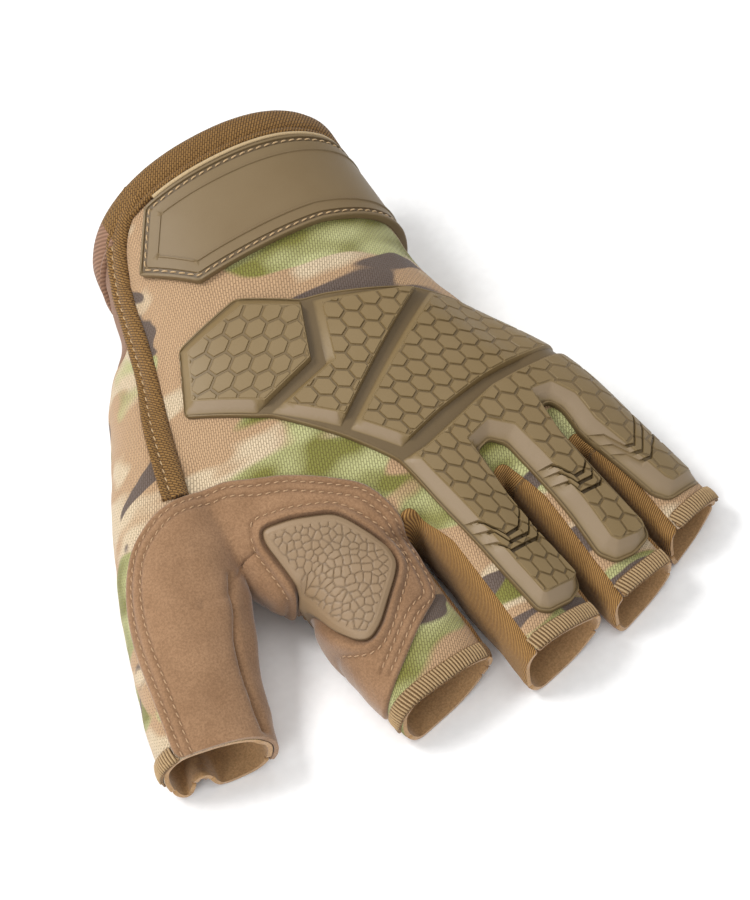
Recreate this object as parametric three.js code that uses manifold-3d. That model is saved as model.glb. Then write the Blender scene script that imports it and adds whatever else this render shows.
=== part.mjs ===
// Fingerless tactical glove for the left hand, lying palm down.
// Millimetres, +Z up. Fingers point along -Y, the wrist opens along +Y, the thumb is on the -X side.
// The glove is lofted from superellipse sections, and its pieces are cut from skins grown in or out
// from that loft.
import * as THREE from 'three';
import { mergeVertices } from 'three/addons/utils/BufferGeometryUtils.js';
import Module from 'manifold-3d';

const wasm = await Module();
wasm.setup();

// Driving dimensions
const WALL = 1.8; // cloth or suede with its lining
const GAP = 0.3; // clearance between neighbouring pieces
const OVERLAY = 1.5; // height of a sewn-on layer above the skin
const GUARD_HEIGHT = 3.9; // raised knuckle segments above the skin
const TAB_HEIGHT = 2.7; // moulded closure tab above the skin
const PAD_HEIGHT = 3.8; // moulded thumb saddle pad above the skin
const HEM_HEIGHT = 1.2; // folded finger hems above the skin
const HEM_LENGTH = 4.6;
const HEM_FOOT = 7; // the hems end at this height, at a finger's sides
const PALM_TOP = 5; // the suede palm turns up the sides to this height
const WRIST_EDGE = 97; // cut edge of the cloth at the wrist, at the top of the arch
const BINDING_END = 98.5; // outer end of the wrist binding
const BINDING_EASE = 0.1; // the tape stands this much prouder where it folds over the wrist's edge
const BINDING_START = 88.8; // inner end of the wrist binding
const WRIST_LEAN = 0.4; // the wrist edge leans back by this much for each mm below ARCH_TOP
const ARCH_TOP = 52;
const LEAN_START = 40; // the lean grows from this section to the wrist
const SLIT_HALF = 0.6; // half width of the space between two fingers
const CROTCH = -28; // front wall between the fingers
const SIDES = 22; // points round a section
const FAR = 200; // beyond the glove in any direction
const PLATE_SPAN = [-20, 80]; // heights between which a leaning plate cuts the glove
const MERGE_DISTANCE = 1e-5; // points closer than this are one
const EVERYWHERE = [[-FAR, -FAR], [FAR, -FAR], [FAR, FAR], [-FAR, FAR]];
const ORIGIN_SHIFT = { x: 8.745, y: -11.456 }; // puts the origin at the middle of the base

function table(columns, rows) {
  return rows.map((row) => Object.fromEntries(columns.map((name, i) => [name, row[i]])));
}

// Sections of the hand, from the wrist to the knuckles. drop lowers the little finger's side of the top,
// square is the power of the superellipse, lift raises the underside.
const HAND = table(
  ['y', 'left', 'right', 'top', 'drop', 'square', 'lift'],
  [
    [98, -41, 38, 50, -4, 2.2, 1.8],
    [88, -42, 38, 49.8, -4, 2.2, 1.8],
    [76, -45, 38, 49.3, -3, 2.2, 0],
    [60, -48, 38.5, 48, -2, 2.3, 0],
    [40, -53, 41, 46, 1, 2.4, 0],
    [20, -60, 47, 43, 2, 2.4, 0],
    [0, -62, 54, 40, 3, 2.4, 0],
    [-16, -52, 60, 37, 5, 2.4, 0],
    [CROTCH, -46, 61, 33, 6, 2.4, 0],
  ],
);

// Sections of the thumb and fingers, from inside the hand to the open end. The first ones are lifted,
// so that a digit grows out of the hand's side. pinch raises the underside towards the little finger's side.
const DIGIT_COLUMNS = ['x', 'y', 'half', 'top', 'drop', 'square', 'lift', 'pinch'];
const DIGITS = {
  thumb: table(DIGIT_COLUMNS, [
    [-31, 68, 8, 24, 0, 2.3, 13, 0],
    [-39, 52, 14.5, 31, 0, 2.3, 5, 0],
    [-49, 30, 16.5, 35, 0, 2.3, 0, 0],
    [-61, 4, 17, 36, 0, 2.3, 0, 0],
    [-70, -18, 16.5, 33, 0, 2.3, 0, 0],
    [-77.5, -40, 15.5, 28, 0, 2.3, 0, 0],
    [-81.5, -58, 15, 23, 0, 2.3, 0, 0],
  ]),
  index: table(DIGIT_COLUMNS, [
    [-25, -4, 13, 33, 0, 2.6, 8, 0],
    [-22, -40, 17, 28, 1, 2.6, 0, 2],
    [-17.5, -70, 16.5, 20, 2, 2.6, 0, 7],
  ]),
  middle: table(DIGIT_COLUMNS, [
    [8, -8, 14, 37, 2, 2.6, 0, 0],
    [12, -40, 14, 31, 5, 2.6, 0, 2],
    [17, -74, 15, 24, 8, 2.6, 0, 7],
  ]),
  ring: table(DIGIT_COLUMNS, [
    [33, -8, 13, 35, 2, 2.6, 0, 0],
    [39, -40, 13, 28, 5, 2.6, 0, 2],
    [46, -69.5, 14, 18, 5, 2.6, 0, 6.5],
  ]),
  little: table(DIGIT_COLUMNS, [
    [38, 24, 7, 32, 3, 2.6, 14, 0],
    [51, -6, 11, 32, 3, 2.6, 3, 0],
    [59, -32, 12, 26, 5, 2.6, 0, 3],
    [67.5, -59, 12, 16, 4, 2.6, 0, 5.5],
  ]),
};
const PAST_WRIST = 8; // the loft runs on past the wrist, where plates cut it
const PAST_TIP = 8; // and the hollow past the finger ends
const UNDERSIDE = -2; // the sections reach below the floor, where they are cut flat
const STATION_STEP = 15; // mm between lofted sections

// Plan lines between neighbouring fingers
const SLITS = {
  index_middle: [[-5.6, CROTCH], [-3.5, -40], [1.2, -78]],
  middle_ring: [[24, CROTCH], [26, -40], [32.6, -82]],
  ring_little: [[48, CROTCH], [50.8, -40], [59.6, -76]],
};
const FOURCHETTE_LEFT = 3; // how far a fourchette reaches from its slit, towards the thumb
const FOURCHETTE_RIGHT = 5.5; // and towards the little finger, where it shows
const FOURCHETTE_START = -24;

// Middle line of the flap's bound edge, from the wrist to the thumb patch
const FLAP_EDGE = [[-35.5, 92], [-41, 70], [-47, 45], [-53, 27], [-57, 12], [-58.5, 7]];
const FLAP_BINDING_HALF = 3;
const UNDERLAP_START = 58; // the wrist underlap begins here
const FORK_LINE = [[-50, -20], [-49, -FAR]]; // the flap's edge runs on between thumb and index finger
const UNDER_FLAP = { right: -25, front: -18 }; // the side under the flap, where the section turns inwards

// Plan outlines of the sewn-on pieces
const THUMB_PATCH = [
  [-62, 5.5], [-68, 4], [-75, 0], [-80, -6], [-84, -14], [-87, -24], [-89, -36], [-92, -56],
  [-62, -63.5], [-54, -40], [-48, -33], [-45, -40], [-45, -75], [-33, -66], [-17, -54], [-8, -48],
  [-7, -28], [-9, -20], [-13, -14], [-20, -9], [-28, -4], [-37, 0], [-45, 4], [-54, 5.5],
];
// Room that the index and thumb hems leave round the patch's edges
const PATCH_CLEARANCE = [
  [-8, -48 - GAP], [-17, -54 - GAP], [-33 + GAP, -66 - GAP], [-45, -75 - GAP],
  [-60, -75], [-60, -40], [-8, -40],
];
const SADDLE_PAD = [
  [-42, -12], [-34, -14], [-29, -16], [-24, -18], [-21, -21], [-16, -29], [-15, -33], [-15, -37],
  [-17, -40], [-22, -45], [-27, -50], [-31, -52], [-34, -50], [-37, -44], [-40, -30], [-43, -15],
];
const CUFF_TAB = [[-24, 90], [-34, 71], [-23, 56.5], [17, 57], [60, 51], [60, 90]];
const TAB_FOOT = 14; // the tab runs down the little finger's side to this height
const GUARD_FOOT = 12; // and so does the knuckle guard, to this one
const FLAP_FOOT = 20; // the flap's edge stays on the upper half of the hand

// The knuckle guard: one base, and raised segments with slots between them
const GUARD_BASE = [
  [-38.5, 43], [-18, 47.5], [-2, 39], [5, 38], [31, 31], [40, 24], [48, 15], [59, -3],
  [62, -14], [69.5, -30], [75.5, -49.5], [66, -53.2], [62, -50], [51, -27], [50, -19], [47.5, -16], [44.5, -16],
  [45.5, -25], [48, -38], [53, -55], [53, -60], [47, -63], [41, -63], [37.5, -59], [36, -48], [32, -30],
  [29.5, -22], [25.5, -19], [21, -20.5], [22, -34], [25, -46], [30, -60], [28.5, -64.5], [23, -67.5],
  [15, -68.3], [12, -66.5], [9, -54], [3, -28], [-1, -14], [-11, -2], [-27, 12], [-30, 12.5], [-47, 24],
];
const GUARD_SEGMENTS = {
  hex_patch: [[-37, 40.5], [-18, 45], [-4, 37], [-10, 21.5], [-29, 15.5], [-44, 25]],
  wedge: [[1, 36], [27.5, 28.8], [-11.5, 2.5], [-25, 14], [-6, 19]],
  fan: [[32, 27.5], [39, 22.5], [46, 14], [56, -2], [34, -3.8], [17, -6.8], [3, -11], [-0.5, -11.5], [-9, -1]],
};
const KNUCKLE_BAR = [
  [1, -15.5], [8, -14.5], [21, -11.5], [34, -8.5], [58, -5.5], [61, -15], [67.5, -28], [73.5, -48.6],
  [67, -51.5], [64.5, -49], [53, -26], [51.5, -18], [48, -14], [44, -14], [42.5, -17], [43.5, -26],
  [46, -39], [50, -55],
  [49.5, -58.5], [46, -60.5], [42, -60.5], [40, -58], [38.5, -47], [34.5, -30], [31.5, -21], [26, -17],
  [20.5, -18.5], [18, -22], [19.5, -35], [22.5, -47], [27, -59], [26, -63.5], [22.5, -65.5],
  [16, -66.3], [14.5, -64.5], [11.5, -53], [6, -30],
];

const FINISHES = {
  camouflage: { color: 0xb9a27c, roughness: 0.9 },
  suede: { color: 0x9c7857, roughness: 0.95 },
  twill: { color: 0x8a6536, roughness: 0.85 },
  binding: { color: 0x7d5b36, roughness: 0.9 },
  guard: { color: 0x7a6547, roughness: 0.55 },
  pad: { color: 0x968066, roughness: 0.6 },
};

// Numbers between table rows, by a Catmull-Rom curve through them
function between(rows, count) {
  const names = Object.keys(rows[0]);
  const out = [];
  for (let i = 0; i < rows.length - 1; i += 1) {
    const [from, to] = [rows[i], rows[i + 1]];
    const before = rows[Math.max(i - 1, 0)];
    const after = rows[Math.min(i + 2, rows.length - 1)];
    const steps = count(from, to);
    for (let k = 0; k < steps; k += 1) {
      const t = k / steps;
      out.push(Object.fromEntries(names.map((name) => {
        const [a, b, c, d] = [before[name], from[name], to[name], after[name]];
        return [name, b + 0.5 * t * (c - a + t * (2 * a - 5 * b + 4 * c - d + t * (3 * (b - c) + d - a)))];
      })));
    }
  }
  out.push(rows[rows.length - 1]);
  return out;
}

function stations(rows) {
  return between(rows, (from, to) => Math.max(1, Math.round(Math.abs(to.y - from.y) / STATION_STEP)));
}

// One closed section, grown outwards by grow, across the plan heading
function ring(section, heading, grow) {
  const points = [];
  const low = UNDERSIDE - grow;
  for (let i = 0; i < SIDES; i += 1) {
    const angle = (2 * Math.PI * i) / SIDES;
    const power = 2 / section.square;
    const across = Math.sign(Math.cos(angle)) * Math.abs(Math.cos(angle)) ** power;
    const up = Math.sign(Math.sin(angle)) * Math.abs(Math.sin(angle)) ** power;
    const high = section.top + grow - (section.drop * (across + 1)) / 2;
    const side = (section.half + grow) * across;
    const floor = section.lift - grow + section.pinch * Math.max(across, 0) ** 2;
    const z = Math.max((high + low) / 2 + ((high - low) / 2) * up, floor);
    points.push(new THREE.Vector3(section.x - heading.y * side, section.y + heading.x * side, z));
  }
  return points;
}

// A closed body through rings, with a flat fan over each end
function loft(rings) {
  const positions = rings.flat().flatMap((point) => point.toArray());
  const sum = (points) => points.reduce((total, point) => total.add(point), new THREE.Vector3());
  const middle = (points) => sum(points).divideScalar(points.length);
  const last = rings.length - 1;
  positions.push(...middle(rings[0]).toArray(), ...middle(rings[last]).toArray());
  const startCentre = rings.length * SIDES;
  const indices = [];
  for (let j = 0; j < SIDES; j += 1) {
    const k = (j + 1) % SIDES;
    for (let i = 0; i < last; i += 1) {
      const [a, b, c, d] = [i * SIDES + j, i * SIDES + k, (i + 1) * SIDES + j, (i + 1) * SIDES + k];
      indices.push(a, b, c, b, d, c);
    }
    indices.push(startCentre, k, j, startCentre + 1, last * SIDES + j, last * SIDES + k);
  }
  const geometry = new THREE.BufferGeometry();
  geometry.setAttribute('position', new THREE.Float32BufferAttribute(positions, 3));
  geometry.setIndex(indices);
  return solid(geometry);
}

function solid(geometry) {
  geometry.deleteAttribute('normal');
  geometry.deleteAttribute('uv');
  const merged = mergeVertices(geometry, MERGE_DISTANCE);
  const mesh = new wasm.Mesh({
    numProp: 3,
    vertProperties: new Float32Array(merged.attributes.position.array),
    triVerts: new Uint32Array(merged.index.array),
  });
  mesh.merge();
  return new wasm.Manifold(mesh);
}

function outline(points) {
  return new THREE.Shape(points.map(([x, y]) => new THREE.Vector2(x, y)));
}

// An upright prism over a plan outline
function prism(points, bottom = -FAR, top = FAR) {
  const geometry = new THREE.ExtrudeGeometry(outline(points), { depth: top - bottom, bevelEnabled: false });
  geometry.translate(0, 0, bottom);
  return solid(geometry);
}

// A plate right across the glove between two leaning planes, such as the wrist's edge
function leaningPlate(start, end) {
  const lean = (z) => WRIST_LEAN * (ARCH_TOP - z);
  const [low, high] = PLATE_SPAN;
  const side = outline([
    [start - lean(low), low],
    [end - lean(low), low],
    [end - lean(high), high],
    [start - lean(high), high],
  ]);
  const geometry = new THREE.ExtrudeGeometry(side, { depth: 2 * FAR, bevelEnabled: false });
  geometry.translate(0, 0, -FAR);
  geometry.applyMatrix4(new THREE.Matrix4().makeBasis(
    new THREE.Vector3(0, 1, 0),
    new THREE.Vector3(0, 0, 1),
    new THREE.Vector3(1, 0, 0),
  ));
  return solid(geometry);
}

function headings(sections) {
  return sections.map((section, i) => {
    const [a, b] = [sections[Math.max(i - 1, 0)], sections[Math.min(i + 1, sections.length - 1)]];
    return new THREE.Vector2(b.x - a.x, b.y - a.y).normalize();
  });
}

function handBody(grow, beyond) {
  const sections = stations(HAND).map((row) => ({
    ...row,
    x: (row.left + row.right) / 2,
    half: (row.right - row.left) / 2,
    pinch: 0,
  }));
  sections[0] = { ...sections[0], y: sections[0].y + beyond };
  sections[sections.length - 1] = { ...sections[sections.length - 1], y: CROTCH - grow };
  const towardsFingers = new THREE.Vector2(0, -1);
  const rings = sections.map((section) => ring(section, towardsFingers, grow));
  rings.flat().forEach((point) => {
    const share = THREE.MathUtils.clamp((point.y - LEAN_START) / (WRIST_EDGE - LEAN_START), 0, 1);
    point.y -= WRIST_LEAN * (ARCH_TOP - point.z) * share;
  });
  return loft(rings);
}

function digitBody(rows, grow, beyond) {
  const sections = stations(rows);
  const towards = headings(sections);
  const end = sections.length - 1;
  const rings = sections.map((section, i) => ring(section, towards[i], grow));
  if (beyond > 0) {
    const step = new THREE.Vector3(towards[end].x, towards[end].y, 0).multiplyScalar(beyond);
    rings.push(rings[end].map((point) => point.clone().add(step)));
  }
  return loft(rings);
}

// A band in plan along a line, reaching left and right of it
function band(line, left, right) {
  const side = (reach) => line.map(([x, y], i) => {
    const [a, b] = [line[Math.max(i - 1, 0)], line[Math.min(i + 1, line.length - 1)]];
    const along = new THREE.Vector2(b[0] - a[0], b[1] - a[1]).normalize();
    return [x - along.y * reach, y + along.x * reach];
  });
  return [...side(-left), ...side(right).reverse()];
}

// The whole glove as one body, grown outwards by grow, its digits lengthened by beyond;
// a negative grow gives its hollow
function outset(grow, beyond) {
  let body = handBody(grow, PAST_WRIST);
  for (const rows of Object.values(DIGITS)) {
    body = body.add(digitBody(rows, grow, beyond));
  }
  const slitHalf = SLIT_HALF - grow;
  if (slitHalf > 0) {
    for (const line of Object.values(SLITS)) {
      const [first, ...rest] = line;
      body = body.subtract(prism(band([[first[0], CROTCH - grow], ...rest], slitHalf, slitHalf)));
    }
  }
  return grow < 0 ? body : body.intersect(prism(EVERYWHERE, 0, FAR));
}

const grownBodies = new Map();
function grown(grow, beyond = 0) {
  const key = `${grow} ${beyond}`;
  if (!grownBodies.has(key)) {
    grownBodies.set(key, outset(grow, beyond));
  }
  return grownBodies.get(key);
}

const shell = grown(0).subtract(grown(-WALL, PAST_TIP)).subtract(leaningPlate(WRIST_EDGE, WRIST_EDGE + FAR));

// A layer over the skin inside a plan outline, from the seam gap up to height
function layer(points, height, bottom = PALM_TOP, from = GAP) {
  return grown(height).intersect(prism(points, bottom, FAR)).subtract(grown(from, PAST_TIP));
}

// Plan regions that share out the shell above the palm
const aboveSeam = PALM_TOP + GAP / 2;
const belowSeam = PALM_TOP - GAP / 2;

function fourchetteRegion(line, margin) {
  const crotch = [line[0][0], FOURCHETTE_START + margin];
  const region = band([crotch, ...line], FOURCHETTE_RIGHT + margin, FOURCHETTE_LEFT + margin);
  return prism(region, aboveSeam - margin, FAR);
}

// Everything on the thumb's side of the flap edge, which runs on into the fork between thumb and index finger
function thumbSide(margin) {
  const edge = [[FLAP_EDGE[0][0], FAR], ...FLAP_EDGE, ...FORK_LINE].map(([x, y]) => [x + margin, y]);
  const upper = prism([[-FAR, FAR], [-FAR, -FAR], ...edge.reverse()], aboveSeam, FAR);
  const right = UNDER_FLAP.right + margin;
  const front = UNDER_FLAP.front - margin;
  const under = [[-FAR, front], [right, front], [right, FAR], [-FAR, FAR]];
  const lower = prism(under, aboveSeam, FLAP_FOOT + margin);
  return upper.add(lower);
}

function halfSpace(side, y) {
  return side === 'wrist'
    ? prism([[-FAR, y], [FAR, y], [FAR, FAR], [-FAR, FAR]])
    : prism([[-FAR, -FAR], [FAR, -FAR], [FAR, y], [-FAR, y]]);
}

function palm() {
  return shell.intersect(prism(EVERYWHERE, -FAR, belowSeam));
}

function sideGusset() {
  return shell.intersect(thumbSide(-GAP)).intersect(halfSpace('fingers', UNDERLAP_START - GAP));
}

function wristUnderlap() {
  return shell.intersect(thumbSide(-GAP)).intersect(halfSpace('wrist', UNDERLAP_START));
}

function backPanel() {
  let panel = shell.intersect(prism(EVERYWHERE, aboveSeam, FAR));
  panel = panel.subtract(thumbSide(0));
  for (const line of Object.values(SLITS)) {
    panel = panel.subtract(fourchetteRegion(line, GAP));
  }
  return panel;
}

function edgeBinding() {
  const clearance = GAP + BINDING_EASE;
  const reach = OVERLAY + BINDING_EASE;
  const outside = grown(reach).subtract(grown(-WALL - reach));
  const beyondCloth = leaningPlate(WRIST_EDGE + GAP, FAR);
  const cloth = grown(clearance).subtract(grown(-WALL - clearance)).subtract(beyondCloth);
  const ringPart = outside.intersect(leaningPlate(BINDING_START, BINDING_END)).subtract(cloth);
  const flapPart = layer(band(FLAP_EDGE, FLAP_BINDING_HALF, FLAP_BINDING_HALF), OVERLAY, FLAP_FOOT);
  return ringPart.add(flapPart);
}

// The folded hem over the back of one finger's open end
function fingerHem(name) {
  const rows = DIGITS[name];
  const [before, end] = rows.slice(-2);
  const along = new THREE.Vector2(end.x - before.x, end.y - before.y).normalize();
  const inner = [end.x - along.x * HEM_LENGTH, end.y - along.y * HEM_LENGTH];
  const outer = [end.x - along.x * GAP, end.y - along.y * GAP];
  const reach = end.half + HEM_HEIGHT;
  return layer(band([inner, outer], reach, reach), HEM_HEIGHT, HEM_FOOT);
}

function hemOnBack(name) {
  let hem = fingerHem(name);
  for (const line of Object.values(SLITS)) {
    hem = hem.subtract(fourchetteRegion(line, GAP));
  }
  return hem.subtract(prism(THUMB_PATCH)).subtract(prism(PATCH_CLEARANCE));
}

function knuckleGuard() {
  let raised = prism(KNUCKLE_BAR, GUARD_FOOT, FAR);
  for (const segment of Object.values(GUARD_SEGMENTS)) {
    raised = raised.add(prism(segment, GUARD_FOOT, FAR));
  }
  const base = grown(OVERLAY).intersect(prism(GUARD_BASE, GUARD_FOOT, FAR));
  return grown(GUARD_HEIGHT).intersect(raised).add(base).subtract(grown(GAP, PAST_TIP));
}

function geometryOf(shape) {
  const { vertProperties, triVerts } = shape.getMesh();
  const geometry = new THREE.BufferGeometry();
  geometry.setAttribute('position', new THREE.BufferAttribute(new Float32Array(vertProperties), 3));
  geometry.setIndex(new THREE.BufferAttribute(new Uint32Array(triVerts), 1));
  return geometry;
}

function largest(shape) {
  return shape.decompose().sort((a, b) => b.volume() - a.volume())[0];
}

// The closure tab ends at the wrist binding, along the same lean
function cuffTab() {
  return layer(CUFF_TAB, TAB_HEIGHT, TAB_FOOT).intersect(leaningPlate(0, BINDING_START - GAP));
}

// Seams leave thin offcuts of cloth; only the piece itself is kept, also where an offcut touches it at a point
function mainBody(shape) {
  return largest(solid(geometryOf(largest(shape))));
}

function mesh(name, shape, finish) {
  const geometry = geometryOf(mainBody(shape));
  geometry.computeVertexNormals();
  const piece = new THREE.Mesh(geometry, new THREE.MeshStandardMaterial({ ...finish, metalness: 0 }));
  piece.name = name;
  return piece;
}

const glove = new THREE.Group();
glove.add(mesh('palm', palm(), FINISHES.suede));
glove.add(mesh('back_panel', backPanel(), FINISHES.camouflage));
glove.add(mesh('side_gusset', sideGusset(), FINISHES.camouflage));
glove.add(mesh('wrist_underlap', wristUnderlap(), FINISHES.suede));
for (const [name, line] of Object.entries(SLITS)) {
  glove.add(mesh(`fourchette_${name}`, shell.intersect(fourchetteRegion(line, 0)), FINISHES.twill));
}
glove.add(mesh('edge_binding', edgeBinding(), FINISHES.binding));
glove.add(mesh('thumb_patch', layer(THUMB_PATCH, OVERLAY), FINISHES.suede));
glove.add(mesh('saddle_pad', layer(SADDLE_PAD, PAD_HEIGHT, PALM_TOP, OVERLAY + GAP), FINISHES.pad));
glove.add(mesh('knuckle_guard', knuckleGuard(), FINISHES.guard));
glove.add(mesh('cuff_tab', cuffTab(), FINISHES.guard));
for (const name of Object.keys(DIGITS)) {
  glove.add(mesh(`${name}_hem`, hemOnBack(name), FINISHES.camouflage));
}
glove.position.set(ORIGIN_SHIFT.x, ORIGIN_SHIFT.y, 0);

export default glove;
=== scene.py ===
"""Looks of the fingerless tactical glove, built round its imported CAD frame.

Shapes are worked out in millimetres, in the section frame of the tables below, and become metres in the
part's frame when an object is made. Fingers point along -Y, the thumb is on the -X side, the back is up.
"""

import math
import random

import bpy
import numpy as np
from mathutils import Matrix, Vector, noise
from mathutils.bvhtree import BVHTree
from mathutils.geometry import delaunay_2d_cdt


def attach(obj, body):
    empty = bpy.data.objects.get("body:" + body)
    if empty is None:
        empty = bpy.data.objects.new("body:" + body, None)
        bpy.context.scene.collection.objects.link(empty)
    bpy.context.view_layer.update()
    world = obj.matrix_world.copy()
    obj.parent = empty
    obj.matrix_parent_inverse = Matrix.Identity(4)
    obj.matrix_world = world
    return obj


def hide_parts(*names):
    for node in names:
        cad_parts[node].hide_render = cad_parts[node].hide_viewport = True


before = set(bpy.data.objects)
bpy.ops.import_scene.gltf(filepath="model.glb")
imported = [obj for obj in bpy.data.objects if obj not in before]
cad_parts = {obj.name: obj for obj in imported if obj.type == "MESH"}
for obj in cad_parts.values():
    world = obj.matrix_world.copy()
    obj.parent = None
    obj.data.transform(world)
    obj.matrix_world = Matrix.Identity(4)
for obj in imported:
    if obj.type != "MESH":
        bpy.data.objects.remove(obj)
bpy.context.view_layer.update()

# Frame of the tables against the part's frame, mm
ORIGIN_SHIFT = np.array([8.745, -11.456, 0.0])
MM = 0.001

# Sections of the hand: y, left, right, top, drop, square, lift
HAND = [
    (110, -41, 38, 50, -4, 2.2, 1.8),
    (98, -41, 38, 50, -4, 2.2, 1.8),
    (88, -42, 38, 49.8, -4, 2.2, 1.8),
    (76, -45, 38, 49.3, -3, 2.2, 0),
    (60, -48, 38.5, 48, -2, 2.3, 0),
    (40, -53, 41, 46, 1, 2.4, 0),
    (20, -60, 47, 43, 2, 2.4, 0),
    (0, -62, 54, 40, 3, 2.4, 0),
    (-16, -52, 60, 37, 5, 2.4, 0),
    (-28, -46, 61, 33, 6, 2.4, 0),
]
# Sections of the digits: x, y, half width, top, drop, square, lift, pinch of the underside, crease in it
DIGITS = {
    "thumb": [
        (-31, 68, 8, 24, 0, 2.3, 13, 0, 0), (-39, 52, 14.5, 31, 0, 2.3, 5, 0, 0),
        (-49, 30, 16.5, 35, 0, 2.3, 0, 0, 0), (-61, 4, 17, 36, 0, 2.3, 0, 0, 0),
        (-70, -18, 16.5, 33, 0, 2.3, 0, 0, 0), (-77.5, -40, 15.5, 28, 0, 2.3, 0, 0, 0),
        (-81.5, -58, 15, 23, 0, 2.3, 0, 2, 9),
    ],
    "index": [
        (-25, -4, 13, 33, 0, 2.6, 8, 0, 0), (-22, -40, 17, 28, 1, 2.6, 0, 2, 0),
        (-17.5, -70, 16.5, 20, 2, 2.6, 0, 8.5, 0),
    ],
    "middle": [
        (8, -8, 14, 37, 2, 2.6, 0, 0, 0), (12, -40, 14, 31, 5, 2.6, 0, 2, 0),
        (17, -74, 15, 24, 8, 2.6, 0, 9, 0),
    ],
    "ring": [
        (33, -8, 13, 35, 2, 2.6, 0, 0, 0), (39, -40, 13, 28, 5, 2.6, 0, 2, 0),
        (46, -69.5, 14, 18, 5, 2.6, 0, 7.5, 0),
    ],
    "little": [
        (38, 24, 7, 32, 3, 2.6, 14, 0, 0), (51, -6, 11, 32, 3, 2.6, 3, 0, 0),
        (59, -32, 12, 26, 5, 2.6, 0, 3, 0), (67.5, -59, 12, 16, 4, 2.6, 0, 6.5, 0),
    ],
}
FINGERS = list(DIGITS)[1:]
# Where the crease lies across the thumb's underside, and its width, as shares of the half width
CREASE = (-0.3, 0.14)
# Where the fingers part, and the middle line of each slit between them
CROTCH = -28.0
SLITS = [
    [(-5.6, CROTCH), (-3.5, -40), (1.2, -78)],
    [(24, CROTCH), (26, -40), (32.6, -82)],
    [(48, CROTCH), (50.8, -40), (59.6, -76)],
]
# The open ends: how far the inner side reaches out below the lip's top, and the overlap cut away there
END_LIP = 3.2
LIP_TOP = 14.0
SLIT_HALF = 1.3
PAST_TIP = 10.0
UNDERSIDE = -2.0
SIDES = 96
VOXEL = 1.0
WALL = 1.6
PALM_TOP = 5.0
# The wrist's edge, and how its sections lean from there to the back of the hand
WRIST_EDGE = 97.0
WRIST_LEAN = 0.4
ARCH_TOP = 52.0
LEAN_START = 40.0
# The flap's edge down the thumb's side, and the thumb's side under it
FLAP_EDGE = [(-34.5, 95), (-35.5, 92), (-41, 70), (-47, 45), (-53, 27), (-57, 12), (-58.5, 6)]
UNDERLAP_START = 58.0
UNDER_FLAP = (-25.0, -18.0)
FLAP_FOOT = 20.0

THUMB_PATCH = [
    (-62, 5.5), (-68, 4), (-75, 0), (-80, -6), (-84, -14), (-87, -24), (-89, -36), (-92, -56), (-62, -63.5),
    (-54, -40), (-48, -33), (-45, -40), (-45, -75), (-33, -66), (-17, -54), (-8, -48), (-7, -28), (-9, -20),
    (-13, -14), (-20, -9), (-28, -4), (-37, 0), (-45, 4), (-54, 5.5),
]
SADDLE_PAD = [
    (-42, -12), (-34, -14), (-29, -16), (-24, -18), (-21, -21), (-16, -29), (-15, -33), (-15, -37),
    (-17, -40), (-22, -45), (-27, -50), (-31, -52), (-34, -50), (-37, -44), (-40, -30), (-43, -15),
]
CUFF_TAB = [(-24, 96), (-34, 71), (-23, 56.5), (17, 57), (70, 50), (70, 96)]
GUARD_BASE = [
    (-38.5, 43), (-18, 47.5), (-1.5, 38.9), (5, 38), (31, 31), (40, 26.5), (20, None, 24), (8, None, 20),
    (-4, None, 18), (-15, None, 17), (-30, None, 13.5), (-49.5, None, 9),
    (66, -53.2), (62, -50), (51, -27), (50, -19), (47.5, -16), (44.5, -16), (45.5, -25), (48, -38),
    (53, -55), (53, -60), (47, -63), (41, -63), (37.5, -59), (36, -48), (32, -30), (29.5, -22), (25.5, -19),
    (21, -20.5), (22, -34), (24.2, -46), (28, -60), (27, -64.5), (22.6, -67.5), (15, -68.3), (12, -66.5),
    (9, -54), (3, -28), (-1, -14), (-11.2, -1.7), (-26.4, 12.7), (-29.6, 14.2), (-46.6, 25),
]
# The same outline in plan alone, to tell what lies under the guard
GUARD_PLAN = [row if None not in row else (90, row[0]) for row in GUARD_BASE]
# The patch's sewn edge, from the thumb's end over the saddle to the side of the index finger
PATCH_RUN = [*THUMB_PATCH[7::-1], *THUMB_PATCH[:13:-1], (-30, -63.5)]
# How far outside the glove a ray starts, and how far the skin is meshed and spaced
FAR = 150.0
SECTION_STEP = 3.0


def rows_between(rows, step, place):
    """Rows along a Catmull-Rom curve through the table; the columns in place measure its length."""
    rows = np.array(rows, float)
    out = []
    for i in range(len(rows) - 1):
        a, b, c, d = rows[max(i - 1, 0)], rows[i], rows[i + 1], rows[min(i + 2, len(rows) - 1)]
        count = max(1, round(float(np.linalg.norm((c - b)[place])) / step))
        for k in range(count):
            t = k / count
            out.append(b + 0.5 * t * (c - a + t * (2 * a - 5 * b + 4 * c - d + t * (3 * (b - c) + d - a))))
    out.append(rows[-1])
    return np.array(out)


def unit(vectors):
    return vectors / np.maximum(np.linalg.norm(vectors, axis=-1, keepdims=True), 1e-9)


def smoothstep(low, high, value):
    t = np.clip((value - low) / (high - low), 0, 1)
    return t * t * (3 - 2 * t)


def section(x, y, half, top, drop, square, lift, pinch, crease, heading):
    angle = np.linspace(0, 2 * math.pi, SIDES, endpoint=False)
    across = np.sign(np.cos(angle)) * np.abs(np.cos(angle)) ** (2 / square)
    up = np.sign(np.sin(angle)) * np.abs(np.sin(angle)) ** (2 / square)
    high = top - drop * (across + 1) / 2
    crease = crease * np.exp(-((across - CREASE[0]) / CREASE[1]) ** 2)
    floor = lift + pinch * np.maximum(across, 0) ** 2 + crease
    z = np.maximum((high + UNDERSIDE) / 2 + (high - UNDERSIDE) / 2 * up, floor)
    side = half * across
    return np.stack([x - heading[1] * side, y + heading[0] * side, z], -1)


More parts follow.
